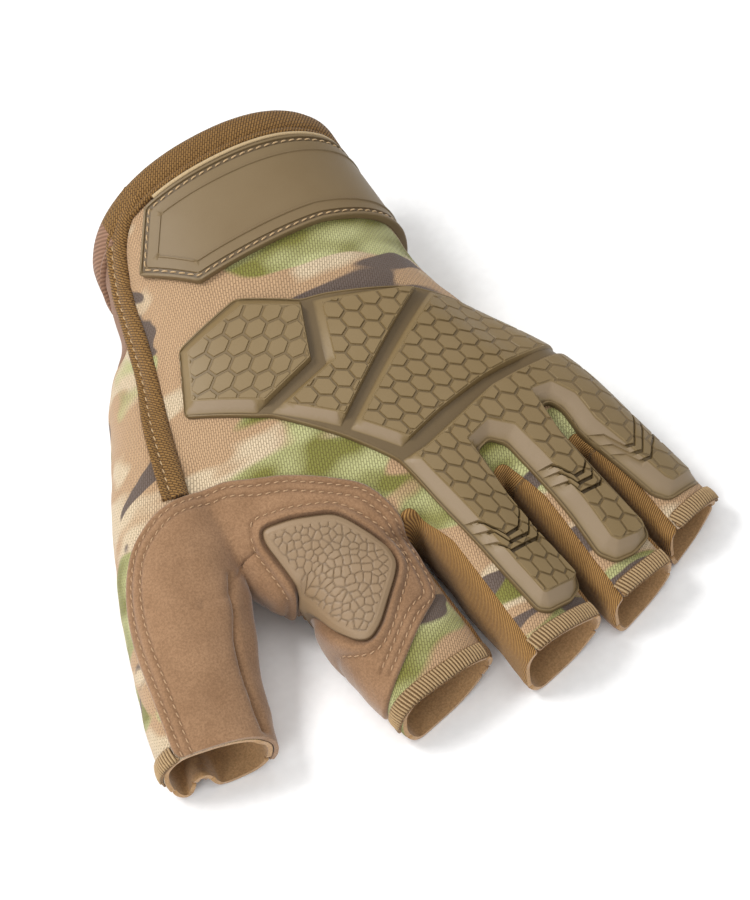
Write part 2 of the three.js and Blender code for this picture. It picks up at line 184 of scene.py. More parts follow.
def slit_x(slit, y):
    line = np.array(slit)[::-1]
    return np.interp(y, line[:, 1], line[:, 0])


def hand_rings():
    rows = [((left + right) / 2, y, (right - left) / 2, *rest) for y, left, right, *rest in HAND]
    rings = np.array([section(*row, 0, 0, (0, -1)) for row in rows_between(rows, SECTION_STEP, [0, 1])])
    share = np.clip((rings[..., 1] - LEAN_START) / (WRIST_EDGE - LEAN_START), 0, 1)
    rings[..., 1] -= WRIST_LEAN * (ARCH_TOP - rings[..., 2]) * share
    return rings


def digit_rings(name):
    rows = rows_between(DIGITS[name], SECTION_STEP, [0, 1])
    headings = unit(np.gradient(rows[:, :2], axis=0))
    rings = [section(*row, heading) for row, heading in zip(rows, headings)]
    step = np.array([*headings[-1], 0.0]) * PAST_TIP
    rings.append(rings[-1] + step)
    rings = np.array(rings)
    if name in FINGERS:
        place = FINGERS.index(name)
        ahead = rings[..., 1] < CROTCH
        if place > 0:
            wall = slit_x(SLITS[place - 1], rings[..., 1]) + SLIT_HALF
            rings[..., 0] = np.where(ahead, np.maximum(rings[..., 0], wall), rings[..., 0])
        if place < 3:
            wall = slit_x(SLITS[place], rings[..., 1]) - SLIT_HALF
            rings[..., 0] = np.where(ahead, np.minimum(rings[..., 0], wall), rings[..., 0])
    return rings


def loft(rings, start):
    count = len(rings)
    points = np.concatenate([rings.reshape(-1, 3), [rings[0].mean(0)], [rings[-1].mean(0)]])
    faces = []
    for j in range(SIDES):
        k = (j + 1) % SIDES
        for i in range(count - 1):
            faces.append((i * SIDES + j, (i + 1) * SIDES + j, (i + 1) * SIDES + k, i * SIDES + k))
        faces.append((count * SIDES, j, k))
        last = (count - 1) * SIDES
        faces.append((count * SIDES + 1, last + k, last + j))
    return points, [tuple(start + v for v in f) for f in faces]


def vertex_normals(points, triangles):
    a, b, c = (points[triangles[:, i]] for i in range(3))
    face = np.cross(b - a, c - a)
    total = np.zeros_like(points)
    for corner in range(3):
        for axis in range(3):
            total[:, axis] += np.bincount(triangles[:, corner], face[:, axis], len(points))
    return unit(total)


def neighbour_mean(values, edges, count):
    total = np.zeros_like(values)
    for axis in range(values.shape[1]):
        total[:, axis] = np.bincount(edges[:, 0], values[edges[:, 1], axis], len(values))
        total[:, axis] += np.bincount(edges[:, 1], values[edges[:, 0], axis], len(values))
    return total / count[:, None]


def relax(values, edges, rounds):
    count = np.maximum(np.bincount(edges.ravel(), minlength=len(values)).astype(float), 1)
    for _ in range(rounds):
        values = values + 0.5 * (neighbour_mean(values, edges, count) - values)
    return values


def half_edges(triangles):
    return np.concatenate([triangles[:, [0, 1]], triangles[:, [1, 2]], triangles[:, [2, 0]]])


def edges_of(triangles):
    return np.unique(np.sort(half_edges(triangles), 1), axis=0)


def linked(name, data):
    made = bpy.data.objects.new(name, data)
    bpy.context.scene.collection.objects.link(made)
    return made


def remeshed(points, faces):
    """One closed skin round all the overlapping bodies, as points and triangles."""
    mesh = bpy.data.meshes.new("raw")
    mesh.from_pydata(points.tolist(), [], faces)
    body = linked("raw", mesh)
    modifier = body.modifiers.new("Remesh", "REMESH")
    modifier.mode = "VOXEL"
    modifier.voxel_size = VOXEL
    graph = bpy.context.evaluated_depsgraph_get()
    made = bpy.data.meshes.new_from_object(body.evaluated_get(graph))
    made.calc_loop_triangles()
    co = np.zeros(len(made.vertices) * 3)
    made.vertices.foreach_get("co", co)
    tri = np.zeros(len(made.loop_triangles) * 3, np.int32)
    made.loop_triangles.foreach_get("vertices", tri)
    bpy.data.objects.remove(body)
    bpy.data.meshes.remove(mesh)
    bpy.data.meshes.remove(made)
    return co.reshape(-1, 3), tri.reshape(-1, 3)


def line_distance(points, line, closed=False):
    """Distance from each point to a polyline, in as many dimensions as they have."""
    line = np.array(line, float)
    if closed:
        line = np.concatenate([line, line[:1]])
    best = np.full(len(points), np.inf)
    for a, b in zip(line[:-1], line[1:]):
        along = b - a
        t = np.clip((points - a) @ along / max(along @ along, 1e-12), 0, 1)
        best = np.minimum(best, np.linalg.norm(points - a - t[:, None] * along, axis=1))
    return best


def signed_distance(points, polygon):
    """Distance to a closed outline in plan, negative inside."""
    polygon = np.array(polygon, float)
    inside = np.zeros(len(points), bool)
    x, y = points[:, 0], points[:, 1]
    for (x0, y0), (x1, y1) in zip(polygon, np.roll(polygon, -1, 0)):
        crosses = (y0 > y) != (y1 > y)
        with np.errstate(divide="ignore", invalid="ignore"):
            at = (x1 - x0) * (y - y0) / (y1 - y0) + x0
        inside ^= crosses & (x < at)
    away = line_distance(points[:, :2], polygon, closed=True)
    return np.where(inside, -away, away)


def rounded(corners, radius, steps=4):
    """The closed outline with each corner turned into a short curve of steps + 1 points."""
    corners = np.array(corners, float)
    out = []
    for i, corner in enumerate(corners):
        ends = []
        for other in (corners[i - 1], corners[(i + 1) % len(corners)]):
            length = np.linalg.norm(other - corner)
            ends.append(corner + (other - corner) * min(radius, 0.45 * length) / max(length, 1e-9))
        for k in range(steps + 1):
            t = k / steps
            out.append((1 - t) ** 2 * ends[0] + 2 * t * (1 - t) * corner + t * t * ends[1])
    return np.array(out)


def lengths(line):
    """Distance along a line at each of its points."""
    return np.concatenate([[0], np.cumsum(np.linalg.norm(np.diff(line, axis=0), axis=1))])


def sampled(values, reach, at):
    """The rows of values, known at reach, at other distances along their line."""
    return np.stack([np.interp(at, reach, column) for column in values.T], -1)


def respaced(curve, step):
    length = lengths(curve)
    count = max(2, round(length[-1] / step) + 1)
    return sampled(curve, length, np.linspace(0, length[-1], count))


def smooth_line(points, step):
    """Points a fixed step apart along a smooth curve through the given ones."""
    points = np.array(points, float)
    return respaced(rows_between(points, step / 4, list(range(points.shape[1]))), step)


def inset(corners, widths):
    """A counter-clockwise outline moved in by one width, or by one for the edge after each corner."""
    corners = np.array(corners, float)
    widths = np.broadcast_to(widths, (len(corners),))
    out = []
    for i, corner in enumerate(corners):
        before, after = unit(corner - corners[i - 1]), unit(corners[(i + 1) % len(corners)] - corner)
        first = corner + np.array([-before[1], before[0]]) * widths[i - 1]
        second = corner + np.array([-after[1], after[0]]) * widths[i]
        turn = before[0] * after[1] - before[1] * after[0]
        if abs(turn) < 0.05:
            out.append((first + second) / 2)
        else:
            gap = second - first
            out.append(first + before * (gap[0] * after[1] - gap[1] * after[0]) / turn)
    return np.array(out)


def counter_clockwise(corners):
    corners = np.array(corners, float)
    after = np.roll(corners, -1, 0)
    area = np.sum(corners[:, 0] * after[:, 1] - after[:, 0] * corners[:, 1])
    return corners if area > 0 else corners[::-1]


class Skin:
    """A closed triangle mesh that finds its own surface and smooth normals."""

    def __init__(self, points, triangles, normals):
        self.points = points
        self.triangles = triangles
        self.normals = normals
        self.tree = BVHTree.FromPolygons(points.tolist(), triangles.tolist())

    def blend(self, places, indices):
        corners = self.triangles[indices]
        a, b, c = (self.points[corners[:, i]] for i in range(3))
        whole = np.cross(b - a, c - a)
        size = np.maximum((whole * whole).sum(1), 1e-12)
        wa = (np.cross(c - b, places - b) * whole).sum(1) / size
        wb = (np.cross(a - c, places - c) * whole).sum(1) / size
        wc = 1 - wa - wb
        return unit(sum(w[:, None] * self.normals[corners[:, i]] for i, w in enumerate((wa, wb, wc))))

    def with_normals(self, found):
        at = np.array([hit[0] for hit in found])
        return at, self.blend(at, np.array([hit[2] for hit in found]))

    def nearest(self, places):
        return self.with_normals([self.tree.find_nearest(Vector(place)) for place in places])

    def cast(self, starts, ways):
        """Where each ray meets the mesh, or the place on the mesh nearest to the ray's far end."""
        found = []
        for start, way in zip(starts, ways):
            hit = self.tree.ray_cast(Vector(start), Vector(way))
            if hit[0] is None:
                hit = self.tree.find_nearest(Vector(start + way * FAR))
            found.append(hit)
        return self.with_normals(found)

    def drop(self, plan):
        """The highest surface point over each place in plan."""
        starts = np.column_stack([plan[:, 0], plan[:, 1], np.full(len(plan), FAR)])
        return self.cast(starts, np.tile([0.0, 0.0, -1.0], (len(plan), 1)))


def build_skin():
    points, faces = [], []
    start = 0
    for rings in [hand_rings(), *(digit_rings(name) for name in DIGITS)]:
        co, part = loft(rings, start)
        points.append(co)
        faces += part
        start += len(co)
    co, triangles = remeshed(np.concatenate(points), faces)
    edges = edges_of(triangles)
    co = relax(co, edges, 14)
    co[:, 2] = np.maximum(co[:, 2], 0)
    return co, triangles, edges


def per_point(values, count):
    """A value for every point; those of a sheet's upper side serve its lower side too."""
    values = np.asarray(values, float)
    return values if len(values) == count else np.concatenate([values, values])


def object_from(name, points, faces, material, sharp=None, uv=None, tone=None):
    """A finished piece: millimetres in the section frame become metres in the part's frame."""
    mesh = bpy.data.meshes.new(name)
    places = (np.asarray(points, float) + ORIGIN_SHIFT) * MM
    mesh.from_pydata(places.tolist(), [], [tuple(int(v) for v in f) for f in faces])
    mesh.validate()
    mesh.polygons.foreach_set("use_smooth", [True] * len(mesh.polygons))
    if sharp is not None:
        mesh.set_sharp_from_angle(angle=math.radians(sharp))
    if uv is not None:
        layer = mesh.uv_layers.new(name="cloth")
        loops = np.zeros(len(mesh.loops), np.int32)
        mesh.loops.foreach_get("vertex_index", loops)
        layer.data.foreach_set("uv", per_point(uv, len(places))[loops].ravel())
    if tone is not None:
        values = per_point(tone, len(places))
        mesh.attributes.new("tone", "FLOAT", "POINT").data.foreach_set("value", values)
    mesh.materials.append(material)
    return linked(name, mesh)


def cut(rows, triangles, values):
    """The part of a mesh where values are below 0; rows hold position, normal and any other columns."""
    values = np.where(np.abs(values) < 1e-5, -1e-5, values)
    inside = values[triangles] < 0
    count = inside.sum(1)
    parts = [triangles[count == 3]]
    made, keys = [], {}

    def crossing(a, b):
        key = (a, b) if a < b else (b, a)
        if key not in keys:
            p, q = key
            t = values[p] / (values[p] - values[q])
            keys[key] = len(rows) + len(made)
            made.append(rows[p] + (rows[q] - rows[p]) * t)
        return keys[key]

    new = []
    for tri, keep in zip(triangles[(count == 1) | (count == 2)], inside[(count == 1) | (count == 2)]):
        lone = int(np.argmax(keep if keep.sum() == 1 else ~keep))
        a, b, c = (int(tri[(lone + i) % 3]) for i in range(3))
        ab, ac = crossing(a, b), crossing(a, c)
        if keep.sum() == 1:
            new.append((a, ab, ac))
        else:
            new.append((ab, b, c))
            new.append((ab, c, ac))
    if new:
        parts.append(np.array(new))
        rows = np.concatenate([rows, np.array(made)])
    triangles = np.concatenate(parts)
    used, flat = np.unique(triangles, return_inverse=True)
    return rows[used], flat.reshape(-1, 3)


def border_edges(triangles):
    pairs = half_edges(triangles).tolist()
    known = {tuple(p) for p in pairs}
    return np.array([p for p in pairs if (p[1], p[0]) not in known], int).reshape(-1, 2)


def eased(rows, triangles):
    """The same mesh with the small steps along its open edges smoothed out."""
    pairs = border_edges(triangles)
    count = np.bincount(pairs.ravel(), minlength=len(rows)).astype(float)
    places = rows[:, :3].copy()
    for _ in range(4):
        mean = neighbour_mean(places, pairs, np.maximum(count, 1))
        places = np.where((count == 2)[:, None], (places + mean) / 2, places)
    return np.column_stack([places, rows[:, 3:]])


def closed_sheet(top, bottom, triangles):
    """A closed body between two copies of an open mesh."""
    count = len(top)
    faces = triangles.tolist() + (triangles[:, ::-1] + count).tolist()
    faces += [(b, a, a + count, b + count) for a, b in border_edges(triangles).tolist()]
    return np.concatenate([top, bottom]), faces


def ring_faces(count, sides, closed=False):
    """Faces between rings of points in a row, with flat ends unless the last ring meets the first."""
    faces = []
    for i in range(count if closed else count - 1):
        n = (i + 1) % count
        for j in range(sides):
            k = (j + 1) % sides
            faces.append((i * sides + j, i * sides + k, n * sides + k, n * sides + j))
    if not closed:
        faces.append(tuple(range(sides))[::-1])
        faces.append(tuple((count - 1) * sides + j for j in range(sides)))
    return faces


def tube(line, radius, sides=6):
    """A round thread along a line."""
    line = np.array(line, float)
    along = unit(np.gradient(line, axis=0))
    side = unit(np.cross(along, [0.13, 0.21, 1.0]))
    other = np.cross(along, side)
    radius = np.broadcast_to(radius, (len(line),))
    angle = np.linspace(0, 2 * math.pi, sides, endpoint=False)
    rings = line[:, None] + radius[:, None, None] * (
        np.cos(angle)[None, :, None] * side[:, None] + np.sin(angle)[None, :, None] * other[:, None])
    return rings.reshape(-1, 3), ring_faces(len(line), sides)


def joined(parts):
    points, faces, start = [], [], 0
    for co, part in parts:
        points.append(co)
        faces += [tuple(start + v for v in f) for f in part]
        start += len(co)
    return np.concatenate(points), faces


# Along one stitch: shares of its length, with its height and thickness there in radii, and its slant in mm
STITCH_PLACE = np.array([0, 0.12, 0.35, 0.65, 0.88, 1.0])
STITCH_HEIGHT = np.array([-0.25, 0.0, 0.6, 0.6, 0.0, -0.25])
STITCH_THICKNESS = np.array([0.55, 0.9, 1.0, 1.0, 0.9, 0.55])
STITCH_SLANT = np.linspace(-0.16, 0.16, len(STITCH_PLACE))[:, None]


def stitches(line, normals, length, gap, radius, rise):
    """A row of thread stitches, each dipping into the cloth at its ends."""
    reach = lengths(line)
    parts = []
    for i in range(int(reach[-1] // (length + gap))):
        at = i * (length + gap) + gap / 2 + length * STITCH_PLACE
        place, up = sampled(line, reach, at), unit(sampled(normals, reach, at))
        lift = STITCH_HEIGHT * radius + rise
        across = unit(np.cross(up, np.gradient(place, axis=0)))
        parts.append(tube(place + up * lift[:, None] + across * STITCH_SLANT, radius * STITCH_THICKNESS))
    return parts


# Folds and seam valleys in the skin: points, depth, width
THUMB_SEAM = [(-55.5, -19, 29), (-60, -30, 27.5), (-64.5, -42, 24), (-68, -58, 18)]
FOLDS = [
    (THUMB_SEAM, 3.0, 1.4),
    ([(-52, -24, 22), (-58, -38, 19), (-62, -52, 14)], -2.2, 3.8),
    ([(-66, -24, 32), (-60, -24, 30), (-56, -21, 28)], 0.9, 1.8),
    ([(-54.8, -19.7, 27), (-51, -16, 25), (-48.6, -15.6, 27), (-45.8, -16.2, 28.8)], 1.3, 0.9),
    ([(-56, -27, 12), (-58, -34, 10)], 2.0, 3.0),
    ([(-78, -34, 28), (-70, -36, 29), (-64, -33, 27)], 0.5, 5.0),
    ([(-60, 20, 28), (-66, 6, 24), (-72, -6, 18)], 0.9, 5.0),
    ([(-52, 46, 22), (-60, 30, 16), (-66, 12, 12)], 0.8, 4.5),
    ([(-40, 86, 22), (-46, 70, 18), (-52, 58, 14)], 0.8, 4.0),
    ([(36, 84, 36), (40, 70, 26), (41, 60, 16)], 0.9, 5.0),
    ([(38, 46, 36), (44, 36, 26), (46, 30, 14)], 0.8, 5.0),
]


def digit_ends():
    ends = {}
    for name, rows in DIGITS.items():
        before, end = np.array(rows[-2][:2]), np.array(rows[-1][:2])
        ends[name] = (end, unit(end - before), rows[-1][2])
    return ends


ENDS = digit_ends()


def digit_index(points):
    """0 thumb, 1 index ... 4 little, -1 for the hand itself."""
    x, y = points[:, 0], points[:, 1]
    place = 1 + sum((x > slit_x(slit, y)).astype(int) for slit in SLITS)
    place = np.where(x < -48, 0, place)
    return np.where(y < -32, place, -1)


def past_end(points):
    """How far each point is beyond its digit's end or the wrist's edge; negative inside the glove."""
    wrist = points[:, 1] + WRIST_LEAN * (ARCH_TOP - points[:, 2]) - WRIST_EDGE
    beyond = np.full(len(points), -100.0)
    index = digit_index(points)
    for number, name in enumerate(DIGITS):
        end, heading, half = ENDS[name]
        along = (points[:, :2] - end) @ heading
        across = (points[:, :2] - end) @ np.array([-heading[1], heading[0]]) / half
        lip = END_LIP * np.clip(1 - points[:, 2] / LIP_TOP, 0, 1) * np.clip(0.5 - 0.5 * across, 0, 1)
        beyond = np.where(index == number, along - lip, beyond)
    return np.maximum(wrist, beyond)


# The middle and the crest of the back of the hand, over y
BACK_ALONG = [-28, 0, 40, 98]
BACK_MIDDLE = [8, -4, -6, -2]
BACK_CREST = [33, 40, 46, 50]


def cloth_uv(points):
    """The cloth laid flat, in mm: across follows the sides down, along runs to the fingers."""
    x, y, z = points.T
    middle, crest = np.interp(y, BACK_ALONG, BACK_MIDDLE), np.interp(y, BACK_ALONG, BACK_CREST)
    index = digit_index(points)
    for number, rows in enumerate(DIGITS.values()):
        rows = np.array(rows)[::-1]
        middle = np.where(index == number, np.interp(y, rows[:, 1], rows[:, 0]), middle)
        crest = np.where(index == number, np.interp(y, rows[:, 1], rows[:, 3]), crest)
    across = x + np.tanh((x - middle) / 12) * np.maximum(crest - z, 0)
    return np.column_stack([across, y])


def slit_side(points, slit):
    """Signed distance from a slit's line in plan, positive towards the little finger."""
    line = np.array(slit, float)
    away = line_distance(points[:, :2], line)
    return np.where(points[:, 0] > slit_x(slit, points[:, 1]), away, -away)


# Where the strips between the fingers start, and how far and over what run they widen to either side
STRIP_START = -22.0
STRIP_LEFT = (3.0, 8)
STRIP_RIGHT = (5.5, 17)


def fourchette_value(points, slit):
    side = slit_side(points, slit)
    ahead = STRIP_START - points[:, 1]
    left = STRIP_LEFT[0] * np.sqrt(np.clip(ahead / STRIP_LEFT[1], 0, 1))
    right = STRIP_RIGHT[0] * np.clip(ahead / STRIP_RIGHT[1], 0, 1) ** 0.55
    value = np.maximum(-side - left, side - right)
    return np.where(ahead < 0, np.maximum(value, -ahead), value)


def thumb_side_value(points):
    edge = [(-35.5, 200), *FLAP_EDGE[1:-1], (-58.5, 7), (-50, -20), (-49, -200)]
    upper = signed_distance(points, [(-200, 200), (-200, -200), *edge[::-1]])
    right, front = UNDER_FLAP
    low = np.maximum.reduce([points[:, 0] - right, front - points[:, 1], points[:, 2] - FLAP_FOOT])
    return np.minimum(upper, low)


def close_to(points, line, width, closed=False):
    """1 on a line, falling off with distance over the width."""
    return np.exp(-(line_distance(points, line, closed) / width) ** 2)


# Areas that soft dents keep clear of
CALM_AREAS = (GUARD_PLAN, SADDLE_PAD, CUFF_TAB, [(-50, 86), (80, 86), (80, 140), (-50, 140)])
DENT_DEPTH = 0.9
DENT_SIZES = (19.0, 8.0)


def fold(points, normals):
    """The skin with its folds pressed in, and soft dents where nothing stiff lies on it."""
    moved = np.zeros(len(points))
    for line, depth, width in FOLDS:
        moved -= depth * close_to(points, smooth_line(line, 2.0), width)
    large, small = DENT_SIZES
    soft = np.array([noise.noise(Vector(p) / large) + 0.5 * noise.noise(Vector(p) / small) for p in points])
    calm = np.minimum.reduce([signed_distance(points, area) for area in CALM_AREAS])
    calm = smoothstep(-1.0, 9.0, calm) * smoothstep(0.0, 6.0, points[:, 2])
    return points + normals * (moved + DENT_DEPTH * soft * calm)[:, None]


skin_points, skin_triangles, skin_edges = build_skin()
skin_normals = relax(vertex_normals(skin_points, skin_triangles), skin_edges, 4)
skin_points = fold(skin_points, unit(skin_normals))
skin_points[:, 2] = np.maximum(skin_points[:, 2], 0)
skin_normals = unit(relax(vertex_normals(skin_points, skin_triangles), skin_edges, 3))
SKIN = Skin(skin_points, skin_triangles, skin_normals)
skin_rows = np.column_stack([skin_points, skin_normals, cloth_uv(skin_points)])


def subdivided(rows, triangles):
    edges, back = np.unique(np.sort(half_edges(triangles), 1), axis=0, return_inverse=True)
    middles = (rows[edges[:, 0]] + rows[edges[:, 1]]) / 2
    ab, bc, ca = back.reshape(3, -1) + len(rows)
    a, b, c = triangles.T
    parts = [(a, ab, ca), (ab, b, bc), (ca, bc, c), (ab, bc, ca)]
    return np.concatenate([rows, middles]), np.concatenate([np.column_stack(p) for p in parts])


def skin_part(value, fine=True):
    """The skin where value is below 0: its triangles, points, normals and places on the flat cloth."""
    rows, triangles = cut(skin_rows, skin_triangles, value(skin_points))
    rows = eased(rows, triangles)
    if fine:
        rows, triangles = subdivided(rows, triangles)
    return triangles, rows[:, :3], rows[:, 3:6], rows[:, 6:8]


def panel(name, value, outside, lining, seam=0.35):
    """A cloth panel: a part of the skin, thickened inwards, its seam edges turned in."""
    triangles, points, normals, uv = skin_part(value, fine=False)
    dip = seam * np.exp(-(np.minimum(value(points), 0) / 0.7) ** 2)
    top = points - normals * dip[:, None]
    bottom = points - normals * WALL
    top[:, 2] = np.maximum(top[:, 2], 0)
    bottom[:, 2] = np.maximum(bottom[:, 2], np.where(normals[:, 2] < -0.5, WALL * 0.9, 0))
    both, faces = closed_sheet(top, bottom, triangles)
    piece = object_from(name, both, faces, outside, sharp=50, uv=uv)
    piece.data.materials.append(lining)
    inner = np.zeros(len(piece.data.polygons), np.int32)
    inner[len(triangles):] = 1
    piece.data.polygons.foreach_set("material_index", inner)
    return piece


# The outlines of the thumb patch and its pad, with their corners eased
PATCH_OUTLINE = rounded(THUMB_PATCH, 4.0)
PAD_OUTLINE = rounded(SADDLE_PAD, 2.5)
PATCH_HEIGHT = 1.3
STITCH_ROWS = (2.0, 4.4)
PAD_STITCH = 3.0


def offset_line(line, distance):
    along = unit(np.gradient(line, axis=0))
    return line + np.column_stack([-along[:, 1], along[:, 0]]) * distance


PATCH_EDGE = smooth_line(PATCH_RUN, 1.0)
PATCH_ROWS = [respaced(offset_line(PATCH_EDGE, -d), 1.0) for d in STITCH_ROWS]
PAD_ROW = rounded(inset(counter_clockwise(SADDLE_PAD), -PAD_STITCH), 3.0)


def patch_height(points):
    edge = -signed_distance(points, PATCH_OUTLINE)
    height = 0.25 + (PATCH_HEIGHT - 0.25) * np.sqrt(np.clip(edge / 0.7, 0, 1))
    for row in PATCH_ROWS:
        height -= 0.4 * close_to(points[:, :2], row, 0.55)
    height -= 0.35 * close_to(points[:, :2], PAD_ROW, 0.55, closed=True)
    pad = signed_distance(points, PAD_OUTLINE)
    height += 0.8 * np.exp(-((pad - 1.2) / 1.1) ** 2)
    height -= 0.9 * smoothstep(0.9, 0.1, pad)
    return height


def patch_painted_shade(points):
    """1 on open suede, less where shade is painted: in the seam, along the stitches and beside the pad."""
    tone = 1 - 0.8 * close_to(points, smooth_line(THUMB_SEAM, 2.0), 1.0)
    for row in PATCH_ROWS:
        tone -= 0.45 * close_to(points[:, :2], row, 0.5)
    tone -= 0.3 * close_to(points[:, :2], PAD_ROW, 0.6, closed=True)
    return np.clip(tone - 0.5 * smoothstep(1.4, 0.0, signed_distance(points, PAD_OUTLINE)), 0, 1)


def patch_value(points):
    above = PALM_TOP - 0.6 - points[:, 2]
    return np.maximum.reduce([signed_distance(points, PATCH_OUTLINE), above, past_end(points)])


def build_patch(material):
    """The suede sewn over the thumb and saddle, with its height above the skin worked out point by point."""
    triangles, points, normals, uv = skin_part(patch_value)
    top = points + normals * patch_height(points)[:, None]
    both, faces = closed_sheet(top, points + normals * 0.1, triangles)
    return object_from("thumb_patch_suede", both, faces, material, sharp=40, uv=uv, tone=patch_painted_shade(points))


# The knuckle guard is drawn on the back laid flat round an axis along Y, then wrapped on to the skin.
# The axis: x, z, and the radius that a turn round it is measured at
WRAP = (5.0, -25.0, 70.0)
DRAWN_HEIGHT = 2.5
# How far to each side of a drawn point the skin is felt, and how much lower a point over a slit lies
BESIDE = 1.6
FALLEN = 3.0


def to_flat(rows):
    """Plan points on the flat drawing; a row (y, None, z) is on the little finger's side at height z."""
    out = []
    for row in rows:
        if row[1] is None:
            at, _ = SKIN.cast(np.array([[FAR, row[0], row[2]]]), np.array([[-1.0, 0.0, 0.0]]))
            out.append(at[0] + [DRAWN_HEIGHT, 0, 0])
        else:
            at, _ = SKIN.drop(np.array([(row[0] + step, row[1]) for step in (0, -BESIDE, BESIDE)], float))
            height = at[0, 2]
            # A point just past a finger's edge is over a slit, and takes its height from the finger beside it
            if at[:, 2].max() - height > FALLEN:
                height = at[:, 2].max() - 1
            out.append([row[0], row[1], max(height, 4) + DRAWN_HEIGHT])
    out = np.array(out)
    return np.column_stack([WRAP[2] * np.arctan2(out[:, 0] - WRAP[0], out[:, 2] - WRAP[1]), out[:, 1]])


def spokes(flat):
    angle = flat[:, 0] / WRAP[2]
    way = np.column_stack([np.sin(angle), np.zeros(len(flat)), np.cos(angle)])
    return np.column_stack([np.full(len(flat), WRAP[0]), flat[:, 1], np.full(len(flat), WRAP[1])]), way


def wrapped(flat):
    start, way = spokes(flat)
    return SKIN.cast(start + way * FAR, -way)


def blurred(grid, spread):
    reach = int(3 * spread)
    weight = np.exp(-(np.arange(-reach, reach + 1) / spread) ** 2 / 2)
    weight /= weight.sum()

    def smooth(row):
        return np.convolve(np.pad(row, reach, "edge"), weight, "valid")

    for axis in (0, 1):
        grid = np.apply_along_axis(smooth, axis, grid)
    return grid


class Carrier:
    """A smooth sheet close over the skin, as a distance from the wrap's axis over the flat drawing."""

    def __init__(self, low, high):
        self.low = np.array(low, float)
        counts = [int(b - a) + 1 for a, b in zip(low, high)]
        xs, ys = (a + np.arange(n) for a, n in zip(low, counts))
        flat = np.array([(x, y) for x in xs for y in ys])
        at, _ = wrapped(flat)
        reach = np.hypot(at[:, 0] - WRAP[0], at[:, 2] - WRAP[1]).reshape(counts)
        for _ in range(5):
            reach = np.maximum(reach, blurred(reach, 2.5))
        self.reach = blurred(reach, 2.2)
        self.rises = np.gradient(self.reach)

    def sample(self, grid, flat):
        place = flat - self.low
        limit = np.array(grid.shape) - 2
        cell = np.clip(np.floor(place).astype(int), 0, limit)
        i, j = cell.T
        u, v = np.clip(place - cell, 0, 1).T
        return ((1 - u) * ((1 - v) * grid[i, j] + v * grid[i, j + 1])
                + u * ((1 - v) * grid[i + 1, j] + v * grid[i + 1, j + 1]))

    def surface(self, flat):
        start, way = spokes(flat)
        reach = self.sample(self.reach, flat)
        rise_x, rise_y = (self.sample(rise, flat) for rise in self.rises)
        turn = np.column_stack([way[:, 2], np.zeros(len(flat)), -way[:, 0]])
        across = turn * (reach / WRAP[2])[:, None] + way * rise_x[:, None]
        along = way * rise_y[:, None]
        along[:, 1] += 1
        return start + way * reach[:, None], unit(np.cross(across, along))


CARRIER = Carrier((-62, -76), (96, 54))
soft_normals = unit(relax(vertex_normals(skin_points, skin_triangles), skin_edges, 12))
FAIR_SOFT = Skin(skin_points, skin_triangles, soft_normals)

# Heights over the guard: its plain ground, the top of its ridges, and the rim inwards from its edge
GROUND = 1.15
RAISED = 3.8
RIM = [0, 0.25, 0.55, 0.75]
RIM_HEIGHT = [0.6, 1.45, 1.45, GROUND]
# Tone from the edge inwards: painted shade, deepest at the rim's foot and on the low ground
RIM_TONE = ([0, 0.25, 0.55, 0.9], [0.3, 0.8, 0.8, 0.35])
CELL_EDGE = 0.2
# Plain border of a plate inside its top's edge, and where its cells are whole again
CELL_BORDER = (0.25, 0.45)
LONG_PIECE = 3.2
# The line on the flat drawing where the guard turns out of sight towards the little finger's side
FAR_SIDE = [
    (78, -66), (72.7, -51.3), (68.4, -42.5), (62.5, -31.5), (57.3, -17.3), (52.1, -4), (36, 25), (28, 42),
]
FAR_REACH = 13.0
FAR_SHARE = 0.62
# Raised plates: corners in plan, slope width along each edge, height at each of three corners (x, y, height)
PLATES = {
    "hex_patch": {
        "corners": [(-38.2, 42.2), (-17.6, 46.6), (-1.9, 38.2), (-8.2, 21.4), (-29.3, 15.0), (-45.9, 25.3)],
        "slopes": [2.2, 2.0, 0.6, 0.6, 3.2, 2.2],
        "heights": [(-37, 40, 3.2), (-7, 37, 3.6), (-29, 16, 4.0)],
        "cells": ((4.0, -2.75), (-1.9, -4.9), 0.9, 0.3),
    },
    "wedge": {
        "corners": [(1.0, 37.2), (31.0, 30.2), (-10.7, 1.0), (-26.2, 13.3), (-5.0, 18.9)],
        "slopes": [0.8, 0.5, 3.4, 0.8, 2.4],
        "heights": [(-3, 28, 1.9), (29, 29, 4.0), (-11, 1, 4.0)],
        "cells": ((-2.1, -4.9), (5.6, -0.3), 0.905, 0.45),
    },
    "fan": {
        "corners": [
            (34.8, 28.6), (40.5, 25.6), (19.5, None, 25.3), (8, None, 21.2), (1.6, None, 19.4), (34, -2.8),
            (17, -6.6), (1.6, -11.2), (-8.9, -0.8),
        ],
        "slopes": [0.8, 0.9, 0.9, 0.9, 0.6, 0.6, 0.6, 3.4, 1.3],
        "heights": [(33, 28, 2.4), (52, -2, 3.8), (-9, -1, 2.6)],
        "cells": ((-1.3, -4.6), (5.8, -0.5), 0.905, 0.45),
    },
}
